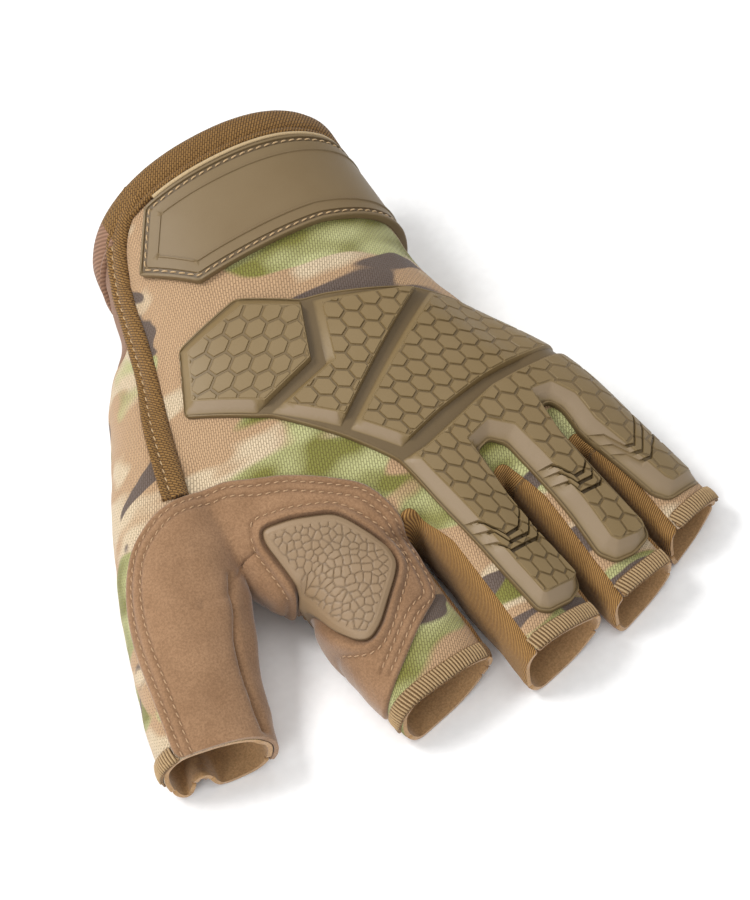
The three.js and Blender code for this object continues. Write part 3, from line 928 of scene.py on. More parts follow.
BAR = [
    (-0.4, -14.4), (8, -13.4), (21, -9.6), (34, -5.6), (-1.0, None, 19.8), (-15, None, 18.4),
    (-30, None, 15.0), (-48.6, None, 10.6), (66, -52.4),
    (62.6, -49.4), (51.8, -26.6), (50.8, -18.6), (47.8, -15.2), (44.2, -15.2), (44.6, -25.4), (47.2, -38.4),
    (52.2, -55.2), (52.2, -59.6), (46.8, -62.2), (41.2, -62.2), (38.3, -58.6), (36.8, -47.6), (32.8, -29.6),
    (30.2, -21.4), (25.6, -18.2), (20.2, -19.9), (21.2, -34.2), (23.4, -46.2), (27.2, -60), (26.3, -64),
    (22.4, -66.7), (15.3, -67.5), (12.7, -66), (9.8, -54), (3.8, -28),
]
BAR_CELLS = ((-1.0, -4.9), (5.75, -0.7), 0.905, 0.45)
# Steps across each of the three ridges: the ridge's heading, and lines from side to side
VEES = [
    ((0.13, -0.99), [
        [(3, -36.4), (5.4, -37), (9.6, -38.1), (14.1, -44.5), (17.9, -43.7), (21.7, -37.6), (24, -33)],
        [(3, -39.6), (6.1, -40.2), (11.2, -42.1), (13.8, -46.6), (19.8, -45.9), (23.1, -40.3), (25.5, -35.5)],
        [(4, -43.3), (6.7, -43.8), (11.2, -45.6), (13.2, -49.0), (21.4, -47.9), (24.4, -43), (27, -38)],
    ]),
    ((0.2, -0.98), [
        [(31, -31.8), (33.3, -32.2), (37.6, -32.4), (41.2, -37.5), (44.0, -37), (47.1, -31.7), (49, -28)],
        [(31.5, -34), (33.6, -34.4), (38.3, -35.1), (40.9, -39.7), (45.3, -39.2), (47.4, -34.7), (50, -30)],
        [(32, -37), (34, -37.4), (39.2, -38.4), (40.6, -42.3), (46.5, -41.7), (48.3, -38.2), (51, -34)],
    ]),
    ((0.26, -0.965), [
        [(50.5, -28), (53.2, -28.3), (57.5, -29.8), (61.2, -34.7), (63.8, -35), (66, -31), (68, -26)],
        [(52, -31.6), (54.7, -32), (58.5, -33.2), (61.7, -37.2), (65.0, -37.4), (67.4, -33), (70, -28)],
        [(53.5, -35), (56.2, -35.4), (60.6, -37), (63, -40), (66.5, -39.8), (68.8, -36), (72, -31)],
    ]),
]
# A step's groove on the top, from its edge to its floor and out again, and its fall on the slope
VEE_GROOVE = (0.15, 1.0, 1.15)
VEE_DEPTH = 1.5
STAIR_LENGTH = 3.1
STAIR_DEPTH = 1.0


def bar_slope(corners):
    """Wide slopes face the thumb and the fingertips, steep ones the little finger and the wrist."""
    corners = np.array(corners, float)
    after = np.roll(corners, -1, 0)
    along = unit(after - corners)
    facing = along[:, 0] - along[:, 1]
    return 0.6 + 3.6 * np.clip(facing * 1.15, 0, 1)


def hexagon(lattice, centre, scale):
    a, b = np.array(lattice[0]), np.array(lattice[1])
    if a @ b < 0:
        b = -b
    first = [(a + b) / 3, (2 * b - a) / 3, (b - 2 * a) / 3]
    corners = [*first, *(-c for c in first)]
    return np.array(centre) + counter_clockwise(np.array(corners) * scale)


def lattice_centres(lattice, around, reach):
    a, b = np.array(lattice[0]), np.array(lattice[1])
    span = range(-reach, reach + 1)
    return np.array([np.array(around) + a * i + b * j for i in span for j in span])


def inside_hexagon(points, lattice, around, scale):
    """How far each point is inside its nearest cell of the pattern, negative outside."""
    basis = np.array([lattice[0], lattice[1]], float).T
    place = np.linalg.solve(basis, (points - np.array(around)).T).T
    base = np.floor(place)
    shape = hexagon(lattice, (0, 0), scale)
    along = unit(np.roll(shape, -1, 0) - shape)
    inward = np.column_stack([-along[:, 1], along[:, 0]])
    best = np.full(len(points), -10.0)
    for i in (0, 1):
        for j in (0, 1):
            centre = np.array(around) + (base + [i, j]) @ basis.T
            local = points - centre
            depth = np.min([(local - corner) @ way for corner, way in zip(shape, inward)], axis=0)
            best = np.maximum(best, depth)
    return best


def plane_through(three):
    """Height as a plane over the flat plan, from three corners."""
    flat = to_flat([(x, y) for x, y, _ in three])
    matrix = np.column_stack([flat, np.ones(3)])
    return np.linalg.solve(matrix, np.array([h for _, _, h in three], float))


def plate_from(corners, slopes, plane, cells, around, sizes):
    """A raised plate: outlines of its foot and top, the plane of its top and its pattern of cells."""
    top = inset(corners, slopes)
    foot_size, top_size, steps = sizes
    return {
        "foot": rounded(corners, foot_size, steps), "top": rounded(top, top_size, steps), "plane": plane,
        "cells": cells, "around": to_flat([around])[0], "corners": corners, "top_corners": top,
    }


def guard_plates():
    """The three plates over the hand, then the one with the ridges."""
    plates = []
    for plate in PLATES.values():
        corners, slopes = to_flat(plate["corners"]), plate["slopes"]
        if not np.allclose(counter_clockwise(corners), corners):
            corners, slopes = corners[::-1], [*slopes[-2::-1], slopes[-1]]
        plane = plane_through(plate["heights"])
        plates.append(plate_from(corners, slopes, plane, plate["cells"], plate["corners"][0], (0.5, 0.35, 2)))
    corners = counter_clockwise(to_flat(BAR))
    level = np.array([0, 0, RAISED])
    plates.append(plate_from(corners, bar_slope(corners), level, BAR_CELLS, (30, -12), (1.1, 0.6, 3)))
    return plates


def past_vee(flat, heading, line):
    """How far each point is past a stepped line, along its ridge; -1 off its ends."""
    heading = unit(np.array(heading))
    side = np.array([-heading[1], heading[0]])
    across = flat @ side
    ends = line @ side
    past = flat @ heading - np.interp(across, ends, line @ heading)
    return np.where((across > ends[0]) & (across < ends[-1]), past, -1.0)


def guard_height(flat, plates, base, vees):
    """Height at each point of the flat drawing, and a tone that paints shade on the low ground, the plate
    walls, the cell grooves and the steps, and a highlight on the wide slopes.
    """
    edge = -signed_distance(flat, base)
    height, tone = np.interp(edge, RIM, RIM_HEIGHT), np.interp(edge, *RIM_TONE)
    for plate in plates:
        foot = -signed_distance(flat, plate["foot"])
        top = -signed_distance(flat, plate["top"])
        share = np.where(top >= 0, 1.0, np.clip(foot / np.maximum(foot - top, 1e-6), 0, 1))
        share = np.where(foot <= 0, 0.0, share)
        peak = np.column_stack([flat, np.ones(len(flat))]) @ plate["plane"]
        first, second, scale, depth = plate["cells"]
        cell = np.clip(inside_hexagon(flat, (first, second), plate["around"], scale) / CELL_EDGE, 0, 1)
        cell = np.minimum(cell, smoothstep(*CELL_BORDER, top))
        peak = peak - depth + depth * cell
        height = np.where(foot > 0, GROUND + (peak - GROUND) * share, height)
        # Painted shade towards each plate's foot and in the grooves between its cells
        ditch = np.where(top > CELL_BORDER[1], 1 - cell, 0.0)
        # A painted highlight on the wide slopes that face the thumb and the fingertips
        wide = np.clip((foot - top - 2.6) / 0.5, 0, 1)
        wide = wide * smoothstep(0.0, 0.12, share) * smoothstep(1.0, 0.94, share)
        shade = (0.35 + 0.65 * np.clip(share * 3, 0, 1)) * (1 - 0.4 * ditch) + 0.8 * wide
        tone = np.where(foot > 0, shade, tone)
    # The steps are in the last plate alone, whose foot, top and share are at hand
    groove, stair = np.zeros(len(flat)), np.zeros(len(flat))
    for heading, line in vees:
        past = past_vee(flat, heading, line)
        groove = np.maximum(groove, np.interp(past, [0, *VEE_GROOVE], [0, 1, 1, 0]))
        stair = np.maximum(stair, np.interp(past, [0, VEE_GROOVE[0], STAIR_LENGTH], [0, 1, 0]))
    on_slope = np.clip(-top / 0.6, 0, 1)
    drop = VEE_DEPTH * groove * (1 - on_slope) + STAIR_DEPTH * stair * on_slope * np.clip(share * 2, 0, 1)
    # Painted shade in the steps' grooves on the top and on their stairs down the slope
    dark = 0.6 * groove * (1 - on_slope) + 0.35 * stair * on_slope
    return np.where(foot > 0, height - drop, height), np.where(foot > 0, tone * (1 - dark), tone)


def pattern_lines(plate):
    """Outer and inner outlines of the raised cells that reach the plate's top."""
    first, second, scale, _ = plate["cells"]
    loops = []
    for centre in lattice_centres((first, second), plate["around"], 22):
        if signed_distance(centre[None], plate["top"])[0] < 2.2:
            outer = hexagon((first, second), centre, scale)
            loops += [outer, inset(outer, CELL_EDGE)]
    return loops


def divided(line, closed):
    """The same line with its long straight pieces split, so that it can follow a curved surface."""
    line = np.array(line, float)
    out = []
    for a, b in zip(line, np.roll(line, -1, 0) if closed else line[1:]):
        length = float(np.linalg.norm(b - a))
        count = 1 if length < LONG_PIECE else math.ceil(length * 2 / LONG_PIECE)
        out += [a + (b - a) * k / count for k in range(count)]
    return out if closed else [*out, line[-1]]


def triangulated(loops, lines, outline, spacing):
    """Triangles inside an outline that follow closed loops and open lines, on a grid of even spacing."""
    points, edges = [], []
    for number, line in enumerate([*loops, *lines]):
        closed = number < len(loops)
        line = divided(line, closed)
        start = len(points)
        points += [tuple(p) for p in line]
        edges += [(start + i, start + i + 1) for i in range(len(line) - 1)]
        if closed:
            edges.append((start + len(line) - 1, start))
    low, high = np.min(outline, 0), np.max(outline, 0)
    xs = np.arange(low[0], high[0], spacing)
    ys = np.arange(low[1], high[1], spacing * 0.87)
    grid = np.array([(x + (spacing / 2 if j % 2 else 0), y) for j, y in enumerate(ys) for x in xs])
    grid = grid[signed_distance(grid, outline) < -0.3]
    points += [tuple(p) for p in grid]
    made = delaunay_2d_cdt([Vector(p) for p in points], edges, [], 0, 1e-4)
    flat = np.array([tuple(v) for v in made[0]])
    faces = np.array([tuple(f) for f in made[2]])
    centres = flat[faces].mean(1)
    faces = faces[signed_distance(centres, outline) < 0]
    used, index = np.unique(faces, return_inverse=True)
    return flat[used], index.reshape(-1, 3)


def build_guard(material):
    corners = counter_clockwise(to_flat(GUARD_BASE))
    base = rounded(corners, 1.8, 3)
    plates = guard_plates()
    vees = [(heading, to_flat(line)) for heading, group in VEES for line in group]
    loops = [base] + [rounded(inset(corners, width), 1.5, 3) for width in RIM[1:]]
    lines = []
    for plate in plates:
        loops += [plate["foot"], plate["top"]]
        loops += [plate["foot"] * (1 - share) + plate["top"] * share for share in (0.12, 0.5, 0.94)]
        loops += [rounded(inset(plate["top_corners"], width), 0.35, 2) for width in CELL_BORDER]
        lines += [[a, b] for a, b in zip(plate["corners"], plate["top_corners"])]
        loops += pattern_lines(plate)
    for heading, line in vees:
        lines += [line + unit(np.array(heading)) * step for step in (0, *VEE_GROOVE)]
    flat, triangles = triangulated(loops, lines, base, 1.3)
    height, tone = guard_height(flat, plates, base, vees)
    at, normals = CARRIER.surface(flat)
    under, _ = wrapped(flat)
    gap = ((at - under) * normals).sum(1)
    far_x, far_y = np.array(FAR_SIDE, float).T
    fade = smoothstep(-FAR_REACH, 0, flat[:, 0] - np.interp(flat[:, 1], far_y, far_x))
    height = height * (1 - FAR_SHARE * fade) - np.clip(gap - 0.2, 0, 6) * fade
    low = np.minimum(-np.clip(gap - 0.1, 0, 1.2), height - 0.5)
    both, faces = closed_sheet(at + normals * height[:, None], at + normals * low[:, None], triangles)
    return object_from("knuckle_guard_relief", both, faces, material, sharp=16, tone=tone)


# The axis that the cuff is felt from, x and z, and the height where the tab ends
CUFF_AXIS = (-2.0, 20.0)
TAB_FOOT_HEIGHT = 14.0
TAB_MIDDLE = 74.0
# From the tab's edge inwards: places, heights and tones of its rim, stitched groove, field and frame line;
# the tones paint shade, deepest in the stitched groove
TAB_RIMS = [0.0, 0.2, 0.8, 1.0, 2.3, 2.5, 5.2, 5.4, 5.75, 5.95]
TAB_LEVELS = [2.1, 2.5, 2.5, 1.95, 1.95, 2.35, 2.35, 2.75, 2.75, 2.4]
TAB_TONES = [0.8, 1.0, 1.0, 0.35, 0.35, 1.0, 1.0, 1.0, 0.9, 1.0]
TAB_GROOVE = (1.65, 1.95)
TAB_STITCH = {"length": 1.8, "gap": 0.8, "radius": 0.25, "rise": 0.05}
PIPING_PLACE = 88.2
PIPING_RISE = 1.5
PIPING_RADIUS = 0.65


def cuff(angle, along):
    """The skin round the wrist, by angle from the little finger's side over the top, on leaning sections."""
    along = np.broadcast_to(along, (len(angle),))
    lean = WRIST_LEAN * np.clip((along - LEAN_START) / (WRIST_EDGE - LEAN_START), 0, 1)
    way = np.column_stack([np.cos(angle), lean * np.sin(angle), np.sin(angle)])
    x, z = (np.full(len(angle), value) for value in CUFF_AXIS)
    axis = np.column_stack([x, along - lean * (ARCH_TOP - z), z])
    return FAIR_SOFT.cast(axis + way * 110, -unit(way))


def cuff_table():
    """Girth along the tab's middle, from the top of the arch towards the little finger's side."""
    angle = np.linspace(math.pi, -0.6, 240)
    at, _ = cuff(angle, TAB_MIDDLE)
    girth = lengths(at)
    return angle, girth - np.interp(math.pi / 2, angle[::-1], girth[::-1]), at


CUFF_ANGLE, CUFF_GIRTH, CUFF_LINE = cuff_table()


def girth_at(x):
    upper = CUFF_ANGLE > 0.2
    return float(np.interp(x, CUFF_LINE[upper, 0], CUFF_GIRTH[upper]))


def build_tab(material, thread):
    """The closure tab, drawn over girth and y, and the stitches in its groove."""
    end = float(CUFF_GIRTH[np.argmax((CUFF_ANGLE < 1.0) & (CUFF_LINE[:, 2] < TAB_FOOT_HEIGHT))])
    plan = [(-24.5, 87.2), (-34.5, 71), (-23.5, 57), (17, 58.3)]
    corners = counter_clockwise([*((girth_at(x), y) for x, y in plan), (end, 54.5), (end, 87.2)])
    loops = [rounded(inset(corners, width), 0.8, 2) for width in TAB_RIMS]
    flat, triangles = triangulated(loops, [], loops[0], 1.5)
    edge = -signed_distance(flat, loops[0])
    height = np.interp(edge, TAB_RIMS, TAB_LEVELS)
    at, normals = cuff(np.interp(flat[:, 0], CUFF_GIRTH, CUFF_ANGLE), flat[:, 1])
    both, faces = closed_sheet(at + normals * height[:, None], at + normals * 0.15, triangles)
    # Painted shade in the stitched groove and at the tab's edges
    tone = np.interp(edge, TAB_RIMS, TAB_TONES)
    tab = object_from("cuff_tab_relief", both, faces, material, sharp=20, tone=tone)
    row = rounded(inset(corners, TAB_GROOVE[0]), 0.8, 2)
    row = respaced(np.concatenate([row, row[:1]]), 0.8)
    at, normals = cuff(np.interp(row[:, 0], CUFF_GIRTH, CUFF_ANGLE), row[:, 1])
    parts = stitches(at + normals * TAB_GROOVE[1], normals, **TAB_STITCH)
    return tab, object_from("cuff_tab_stitching", *joined(parts), thread)


def build_piping(material):
    """The thin rolled edge between the tab and the wrist's binding."""
    angle = np.linspace(float(np.interp(girth_at(-21), CUFF_GIRTH, CUFF_ANGLE)), 0.3, 120)
    at, normals = cuff(angle, PIPING_PLACE)
    return object_from("cuff_piping", *tube(at + normals * PIPING_RISE, PIPING_RADIUS, 10), material)


# Section of the knit tape folded over the wrist's edge: place along the glove and height over the skin
RING_PROFILE = [
    (88.9, 0.1), (89.0, 1.0), (89.5, 1.5), (90.4, 1.35), (91.0, 0.95), (91.5, 1.35), (93, 1.7), (95, 1.75),
    (96.8, 1.6), (98.0, 0.9), (98.4, -0.4), (98.2, -1.7), (97.4, -2.9), (95, -3.3), (91.5, -3.2), (90, -2.0),
]
RING_SIDES = 300
# The last place where the tape is still over the skin
RING_HELD = 96.8
# Where x is less and z is more than these, the wrist's edge is behind the flap
BEHIND_FLAP = (-36.0, 4.0)


def ring_binding(material, behind):
    """The tape round the wrist's edge; behind the flap it is the underlap's own hem."""
    angle = np.linspace(0, 2 * math.pi, RING_SIDES, endpoint=False)
    rings = []
    for along, height in RING_PROFILE:
        held = min(along, RING_HELD)
        at, normals = cuff(angle, held)
        rings.append(at + normals * height + [0, along - held, 0])
    points = np.concatenate(rings)
    points[:, 2] = np.maximum(points[:, 2], 0.0)
    faces = ring_faces(len(RING_PROFILE), RING_SIDES, closed=True)
    place = np.repeat([along for along, _ in RING_PROFILE], RING_SIDES)
    uv = np.column_stack([np.tile(angle * 36, len(RING_PROFILE)), place])
    piece = object_from("wrist_binding_tape", points, faces, material, sharp=60, uv=uv)
    piece.data.materials.append(behind)
    middle = np.array([points[list(face)].mean(0) for face in faces])
    hidden = (middle[:, 0] < BEHIND_FLAP[0]) & (middle[:, 2] > BEHIND_FLAP[1])
    piece.data.polygons.foreach_set("material_index", hidden.astype(np.int32))
    return piece


# The flap's edge with its corner turned into the wrist's binding
FLAP_RUN = [
    (-24.5, 92.6), (-29.5, 90.2), (-33.8, 86), (-37, 80.5), (-39.5, 74), (-41.6, 67.5), *FLAP_EDGE[3:],
]
# Section of the flap's tape: reach to the side and height over the skin
FLAP_PROFILE = [
    (3.6, 0.05), (3.6, 0.9), (3.2, 1.45), (2.4, 1.5), (1.6, 1.15), (1.1, 0.75), (0.6, 1.1), (-0.2, 1.6),
    (-2.2, 1.8), (-3.4, 1.3), (-3.8, 0.6), (-3.8, 0.05),
]
FLAP_GROOVE = (1.1, 0.8)
FLAP_STITCH = {"length": 1.5, "gap": 1.2, "radius": 0.2, "rise": 0.05}


def flap_tape(material, thread):
    """The tape down the flap's edge, and the stitches in its groove."""
    line, normals = SKIN.drop(smooth_line(FLAP_RUN, 1.5))
    across = unit(np.cross(unit(np.gradient(line, axis=0)), normals))
    rings = []
    for reach, height in FLAP_PROFILE:
        at, up = SKIN.nearest(line + across * reach)
        rings.append(at + up * height)
    sides = len(FLAP_PROFILE)
    side = np.tile([reach for reach, _ in FLAP_PROFILE], len(line))
    uv = np.column_stack([np.repeat(lengths(line), sides), side])
    points, faces = np.stack(rings, 1).reshape(-1, 3), ring_faces(len(line), sides)
    tape = object_from("flap_binding_tape", points, faces, material, sharp=60, uv=uv)
    row, up = SKIN.nearest(line + across * FLAP_GROOVE[0])
    parts = stitches(row + up * FLAP_GROOVE[1], up, **FLAP_STITCH)
    return tape, object_from("flap_binding_stitching", *joined(parts), thread)


# From the pad's edge inwards: places and heights; then its pebbles' least distance apart and their relief
PAD_RIMS = [0.0, 0.5, 1.5, 2.1]
PAD_LEVELS = [1.0, 2.3, 2.75, 2.75]
PEBBLE_APART = (1.35, 2.3)
PEBBLE_RISE = 0.24
PEBBLE_TRIES = 4000


def build_pad(material):
    """The moulded saddle pad, with its pebbled top."""
    corners = counter_clockwise(SADDLE_PAD)
    loops = [rounded(inset(corners, width), 2.6) for width in PAD_RIMS]
    flat, triangles = triangulated(loops, [], loops[0], 0.3)
    edge = -signed_distance(flat, loops[0])
    picker = random.Random(7)
    seeds = []
    outline = rounded(corners, 3.0)
    low, high = np.min(outline, 0) - 3, np.max(outline, 0) + 3
    for _ in range(PEBBLE_TRIES):
        spot = np.array([picker.uniform(low[0], high[0]), picker.uniform(low[1], high[1])])
        apart = picker.uniform(*PEBBLE_APART)
        if all(np.linalg.norm(spot - other) > apart for other in seeds):
            seeds.append(spot)
    near = np.sort(np.linalg.norm(flat[:, None] - np.array(seeds)[None], axis=2), axis=1)[:, :2]
    pebble = np.clip((near[:, 1] - near[:, 0] - 0.1) / 0.35, 0, 1)
    inner = np.clip((edge - 1.9) / 0.4, 0, 1)
    height = np.interp(edge, PAD_RIMS, PAD_LEVELS) + PEBBLE_RISE * (pebble - 0.6) * inner
    # Painted shade on the pad's sloping edge and in the valleys between its pebbles
    tone = np.minimum(np.interp(edge, [0, 0.4, 0.9], [0.2, 0.7, 1.0]), 1 - 0.6 * (1 - pebble) * inner)
    at, normals = FAIR_SOFT.drop(flat)
    both, faces = closed_sheet(at + normals * height[:, None], at + normals * 0.2, triangles)
    return object_from("saddle_pad_pebbled", both, faces, material, sharp=35, tone=tone)


def row_stitches(name, rows, lift, thread, **sizes):
    parts = []
    for row in rows:
        at, normals = SKIN.drop(row)
        parts += stitches(at + normals * lift, normals, **sizes)
    return object_from(name, *joined(parts), thread)


def finger_loop(name, back, angles):
    """Points and normals round one digit's skin, back mm before its end, from side to side over the top."""
    end, heading, _ = ENDS[name]
    centre = np.array([*(end - heading * back), 7.0])
    side = np.array([-heading[1], heading[0], 0.0])
    way = np.cos(angles)[:, None] * side + np.sin(angles)[:, None] * np.array([0, 0, 1.0])
    return SKIN.cast(centre + way * 40, -way)


# Overlock threads of a hem: pitch, slant, and for each thread its shift, radius and rise
HEM_PITCH = 0.95
HEM_SLANT = 0.55
HEM_THREADS = (("thread", 0.0, 0.31, 1.05), ("underthread", 0.47, 0.2, 0.9))
# Where a hem starts and ends, before and past the digit's end, and the lowest it reaches
HEM_BACK = 4.4
HEM_FRONT = 0.4
HEM_FOOT = 6.5


def build_hem(name, knit_cloth, threads):
    """A folded hem over the back of one digit, with its overlock threads."""
    end, heading, _ = ENDS[name]
    number = list(DIGITS).index(name)

    def value(points):
        beyond = (points[:, :2] - end) @ heading
        out = np.maximum.reduce([beyond - HEM_FRONT, -HEM_BACK - beyond, HEM_FOOT - points[:, 2]])
        out = np.where(digit_index(points) == number, out, 5.0)
        for slit in SLITS:
            out = np.maximum(out, -fourchette_value(points, slit) + 0.2)
        return np.maximum(out, 0.3 - signed_distance(points, PATCH_OUTLINE))

    triangles, points, normals, uv = skin_part(value)
    beyond = (points[:, :2] - end) @ heading
    height = 0.15 + 0.75 * np.sqrt(np.clip(np.minimum(0.6 - beyond, beyond + 4.6) / 1.2, 0, 1))
    both, faces = closed_sheet(points + normals * height[:, None], points + normals * 0.05, triangles)
    pieces = [object_from(name + "_hem_fold", both, faces, knit_cloth, sharp=50, uv=uv)]
    angles = np.radians(np.linspace(172, 8, 600))
    inner, up_in = finger_loop(name, 4.1, angles)
    outer, up_out = finger_loop(name, -0.2, angles)
    run = np.flatnonzero((value(inner) < 0.35) & (value(outer - np.array([*heading, 0.0])) < 0.9))
    inner, up_in, outer, up_out = (part[run[0]:run[-1] + 1] for part in (inner, up_in, outer, up_out))
    girth = lengths((inner + outer) / 2)
    share = np.linspace(0, 1, 6)
    for (label, shift, radius, rise), thread in zip(HEM_THREADS, threads):
        loops = []
        lift = rise + 0.3 * np.sin(math.pi * share) - 0.3
        for first in np.arange(shift, girth[-1] - HEM_SLANT, HEM_PITCH):
            ends = (sampled(part, girth, first + share * HEM_SLANT) for part in (inner, outer, up_in, up_out))
            near, far, near_up, far_up = ends
            place = near + (far - near) * share[:, None]
            up = unit(near_up + (far_up - near_up) * share[:, None])
            loops.append(tube(place + up * lift[:, None], radius))
        pieces.append(object_from(f"{name}_hem_{label}", *joined(loops), thread))
    return pieces


# The studio's light on an upward face, against a plain white one
STUDIO_LIGHT = 1.12


def colour(red, green, blue, light=STUDIO_LIGHT):
    """A colour as seen on screen, 0 to 255, in the linear values that shaders take."""
    out = []
    for value in (red, green, blue):
        share = value / 255
        out.append((share / 12.92 if share <= 0.04045 else ((share + 0.055) / 1.055) ** 2.4) / light)
    return (*out, 1.0)


class Paint:
    """Builds one material's nodes. Distances in the patterns are millimetres."""

    def __init__(self, name, roughness, sheen=0.0, specular=0.5):
        self.material = bpy.data.materials.new(name)
        self.material.use_nodes = True
        self.tree = self.material.node_tree
        self.shader = self.tree.nodes["Principled BSDF"]
        self.shader.inputs["Roughness"].default_value = roughness
        self.shader.inputs["Specular IOR Level"].default_value = specular
        if sheen:
            self.shader.inputs["Sheen Weight"].default_value = sheen
            self.shader.inputs["Sheen Roughness"].default_value = 0.45
        scaled = self.node("ShaderNodeVectorMath", Vector=self.node("ShaderNodeTexCoord").outputs["Object"])
        scaled.operation = "SCALE"
        scaled.inputs["Scale"].default_value = 1 / MM
        self.spot = scaled.outputs[0]

    def node(self, kind, **inputs):
        node = self.tree.nodes.new(kind)
        for key, value in inputs.items():
            self.feed(node.inputs[key.replace("_", " ")], value)
        return node

    def feed(self, socket, value):
        if isinstance(value, bpy.types.NodeSocket):
            self.tree.links.new(value, socket)
        else:
            socket.default_value = value

    def mapped(self, vector, location=(0, 0, 0), turn=0.0, stretch=(1, 1, 1)):
        rotation = (0, 0, math.radians(turn))
        node = self.node("ShaderNodeMapping", Vector=vector, Location=location, Rotation=rotation,
                         Scale=stretch)
        return node.outputs[0]

    def cloth(self, turn):
        """Places on the cloth laid flat, turned by an angle."""
        return self.mapped(self.node("ShaderNodeTexCoord").outputs["UV"], turn=turn)

    def noise(self, vector, size, detail=2.0, rough=0.5, distortion=0.0):
        node = self.node("ShaderNodeTexNoise", Vector=vector, Scale=1.0 / size, Detail=detail,
                         Roughness=rough, Distortion=distortion)
        return node.outputs["Fac"]

    def ramp(self, value, low, high):
        return self.node("ShaderNodeMapRange", Value=value, From_Min=low, From_Max=high).outputs[0]

    def mix(self, share, first, second):
        node = self.tree.nodes.new("ShaderNodeMix")
        node.data_type = "RGBA"
        for key, value in (("Factor_Float", share), ("A_Color", first), ("B_Color", second)):
            self.feed(next(s for s in node.inputs if s.identifier == key), value)
        return next(s for s in node.outputs if s.identifier == "Result_Color")

    def specked(self, shade, value, limits, share, deep):
        """The shade, with a share of a deeper colour where the value is low."""
        return self.mix(self.ramp(value, *limits), self.mix(share, shade, colour(*deep)), shade)

    def mottled(self, size, detail, limits, share, base, other):
        """A base colour with soft patches of another."""
        patches = self.ramp(self.noise(self.spot, size, detail), *limits)
        return self.mix(share, self.mix(patches, colour(*base), colour(*other)), colour(*base))

    def painted_shading(self, shade, deep, light=None):
        """The shade where the mesh's tone is 1, a deeper painted shade where it is lower and a light painted
        highlight towards 2.
        """
        node = self.tree.nodes.new("ShaderNodeAttribute")
        node.attribute_name = "tone"
        tone = node.outputs["Fac"]
        painted_shading = self.mix(tone, self.mix(0.75, shade, colour(*deep)), shade)
        return self.mix(self.ramp(tone, 1, 2), painted_shading, colour(*light) if light else shade)

    def finish(self, shade, height=None, depth=0.0, strength=1.0):
        self.feed(self.shader.inputs["Base Color"], shade)
        if height is not None:
            bump = self.node("ShaderNodeBump", Height=height, Strength=strength, Distance=depth * MM)
            self.feed(self.shader.inputs["Normal"], bump.outputs[0])
        return self.material


def grain(paint, turn, width, height, gap):
    """Staggered short grains, as in a knitted cloth; 1 on a grain and 0 between them."""
    light, dim, dark = ((value, value, value, 1) for value in (1, 0.82, 0))
    node = paint.node(
        "ShaderNodeTexBrick", Vector=paint.cloth(turn), Scale=1.0, Color1=light, Color2=dim, Mortar=dark,
        Mortar_Size=gap, Mortar_Smooth=1.0, Brick_Width=width, Row_Height=height)
    return node.outputs["Color"]


# Camouflage: each layer's place and stretch in the noise, size, detail, roughness, distortion and edge
CAMOUFLAGE = {
    "pale": ((310, 40, 0), 18, (0.5, 1.3, 1), 21, 2.0, 0.5, 0.0, (0.54, 0.60)),
    "green": ((45, 118, 20), -28, (0.42, 1.1, 1), 24, 1.6, 0.45, 0.25, (0.545, 0.57)),
    "olive": ((9, 70, 3), -28, (0.6, 1.2, 1), 12, 1.0, 0.5, 0.0, (0.40, 0.62)),
    "brown": ((720, 15, 60), 12, (0.32, 1.25, 1), 17, 1.4, 0.5, 0.5, (0.615, 0.635)),
}


def camouflage():
    paint = Paint("camouflage_cloth", 0.85, sheen=0.15, specular=0.25)
    tan, pale = colour(204, 168, 130), colour(230, 208, 174)
    lime, olive, brown = colour(202, 202, 144), colour(138, 136, 66), colour(112, 98, 90)
    area = {}
    for name, (location, turn, stretch, *noise_values, edge) in CAMOUFLAGE.items():
        spot = paint.mapped(paint.spot, location, turn, stretch)
        area[name] = paint.ramp(paint.noise(spot, *noise_values), *edge)
    shade = paint.mix(area["pale"], tan, pale)
    shade = paint.mix(area["green"], shade, paint.mix(area["olive"], lime, olive))
    shade = paint.mix(area["brown"], shade, brown)
    weave = grain(paint, -68, 1.6, 0.78, 0.2)
    shade = paint.specked(shade, weave, (0.0, 1.0), 0.5, (78, 56, 32))
    shade = paint.specked(shade, paint.noise(paint.spot, 0.35, 1.0), (0.3, 0.7), 0.14, (60, 44, 30))
    return paint.finish(shade, weave, 0.16, 0.9)


def suede(name, base=(165, 129, 97), dark=(130, 96, 66), painted_shading=False):
    paint = Paint(name, 0.92, sheen=0.35, specular=0.15)
    shade = paint.mottled(9, 3.0, (0.36, 0.66), 0.65, base, dark)
    fine = paint.noise(paint.spot, 0.6, 3.0, 0.75)
    shade = paint.specked(shade, fine, (0.36, 0.64), 0.38, (84, 56, 34))
    # Painted shade where the mesh's tone is below 1, as in the patch's seam, along its stitches and beside
    # the pad
    if painted_shading:
        shade = paint.painted_shading(shade, (70, 44, 24))
    return paint.finish(shade, fine, 0.14, 0.7)


def rubber(name, base, other):
    paint = Paint(name, 0.5, specular=0.42)
    shade = paint.mottled(14, 2.0, (0.35, 0.65), 0.6, base, other)
    fine = paint.noise(paint.spot, 0.22, 1.0)
    shade = paint.specked(shade, fine, (0.3, 0.7), 0.07, (50, 36, 20))
    # Painted shade (60, 42, 20) where the mesh's tone is below 1, and a painted highlight (148, 128, 103)
    # where it rises above 1
    return paint.finish(paint.painted_shading(shade, (60, 42, 20), (148, 128, 103)), fine, 0.03, 0.6)


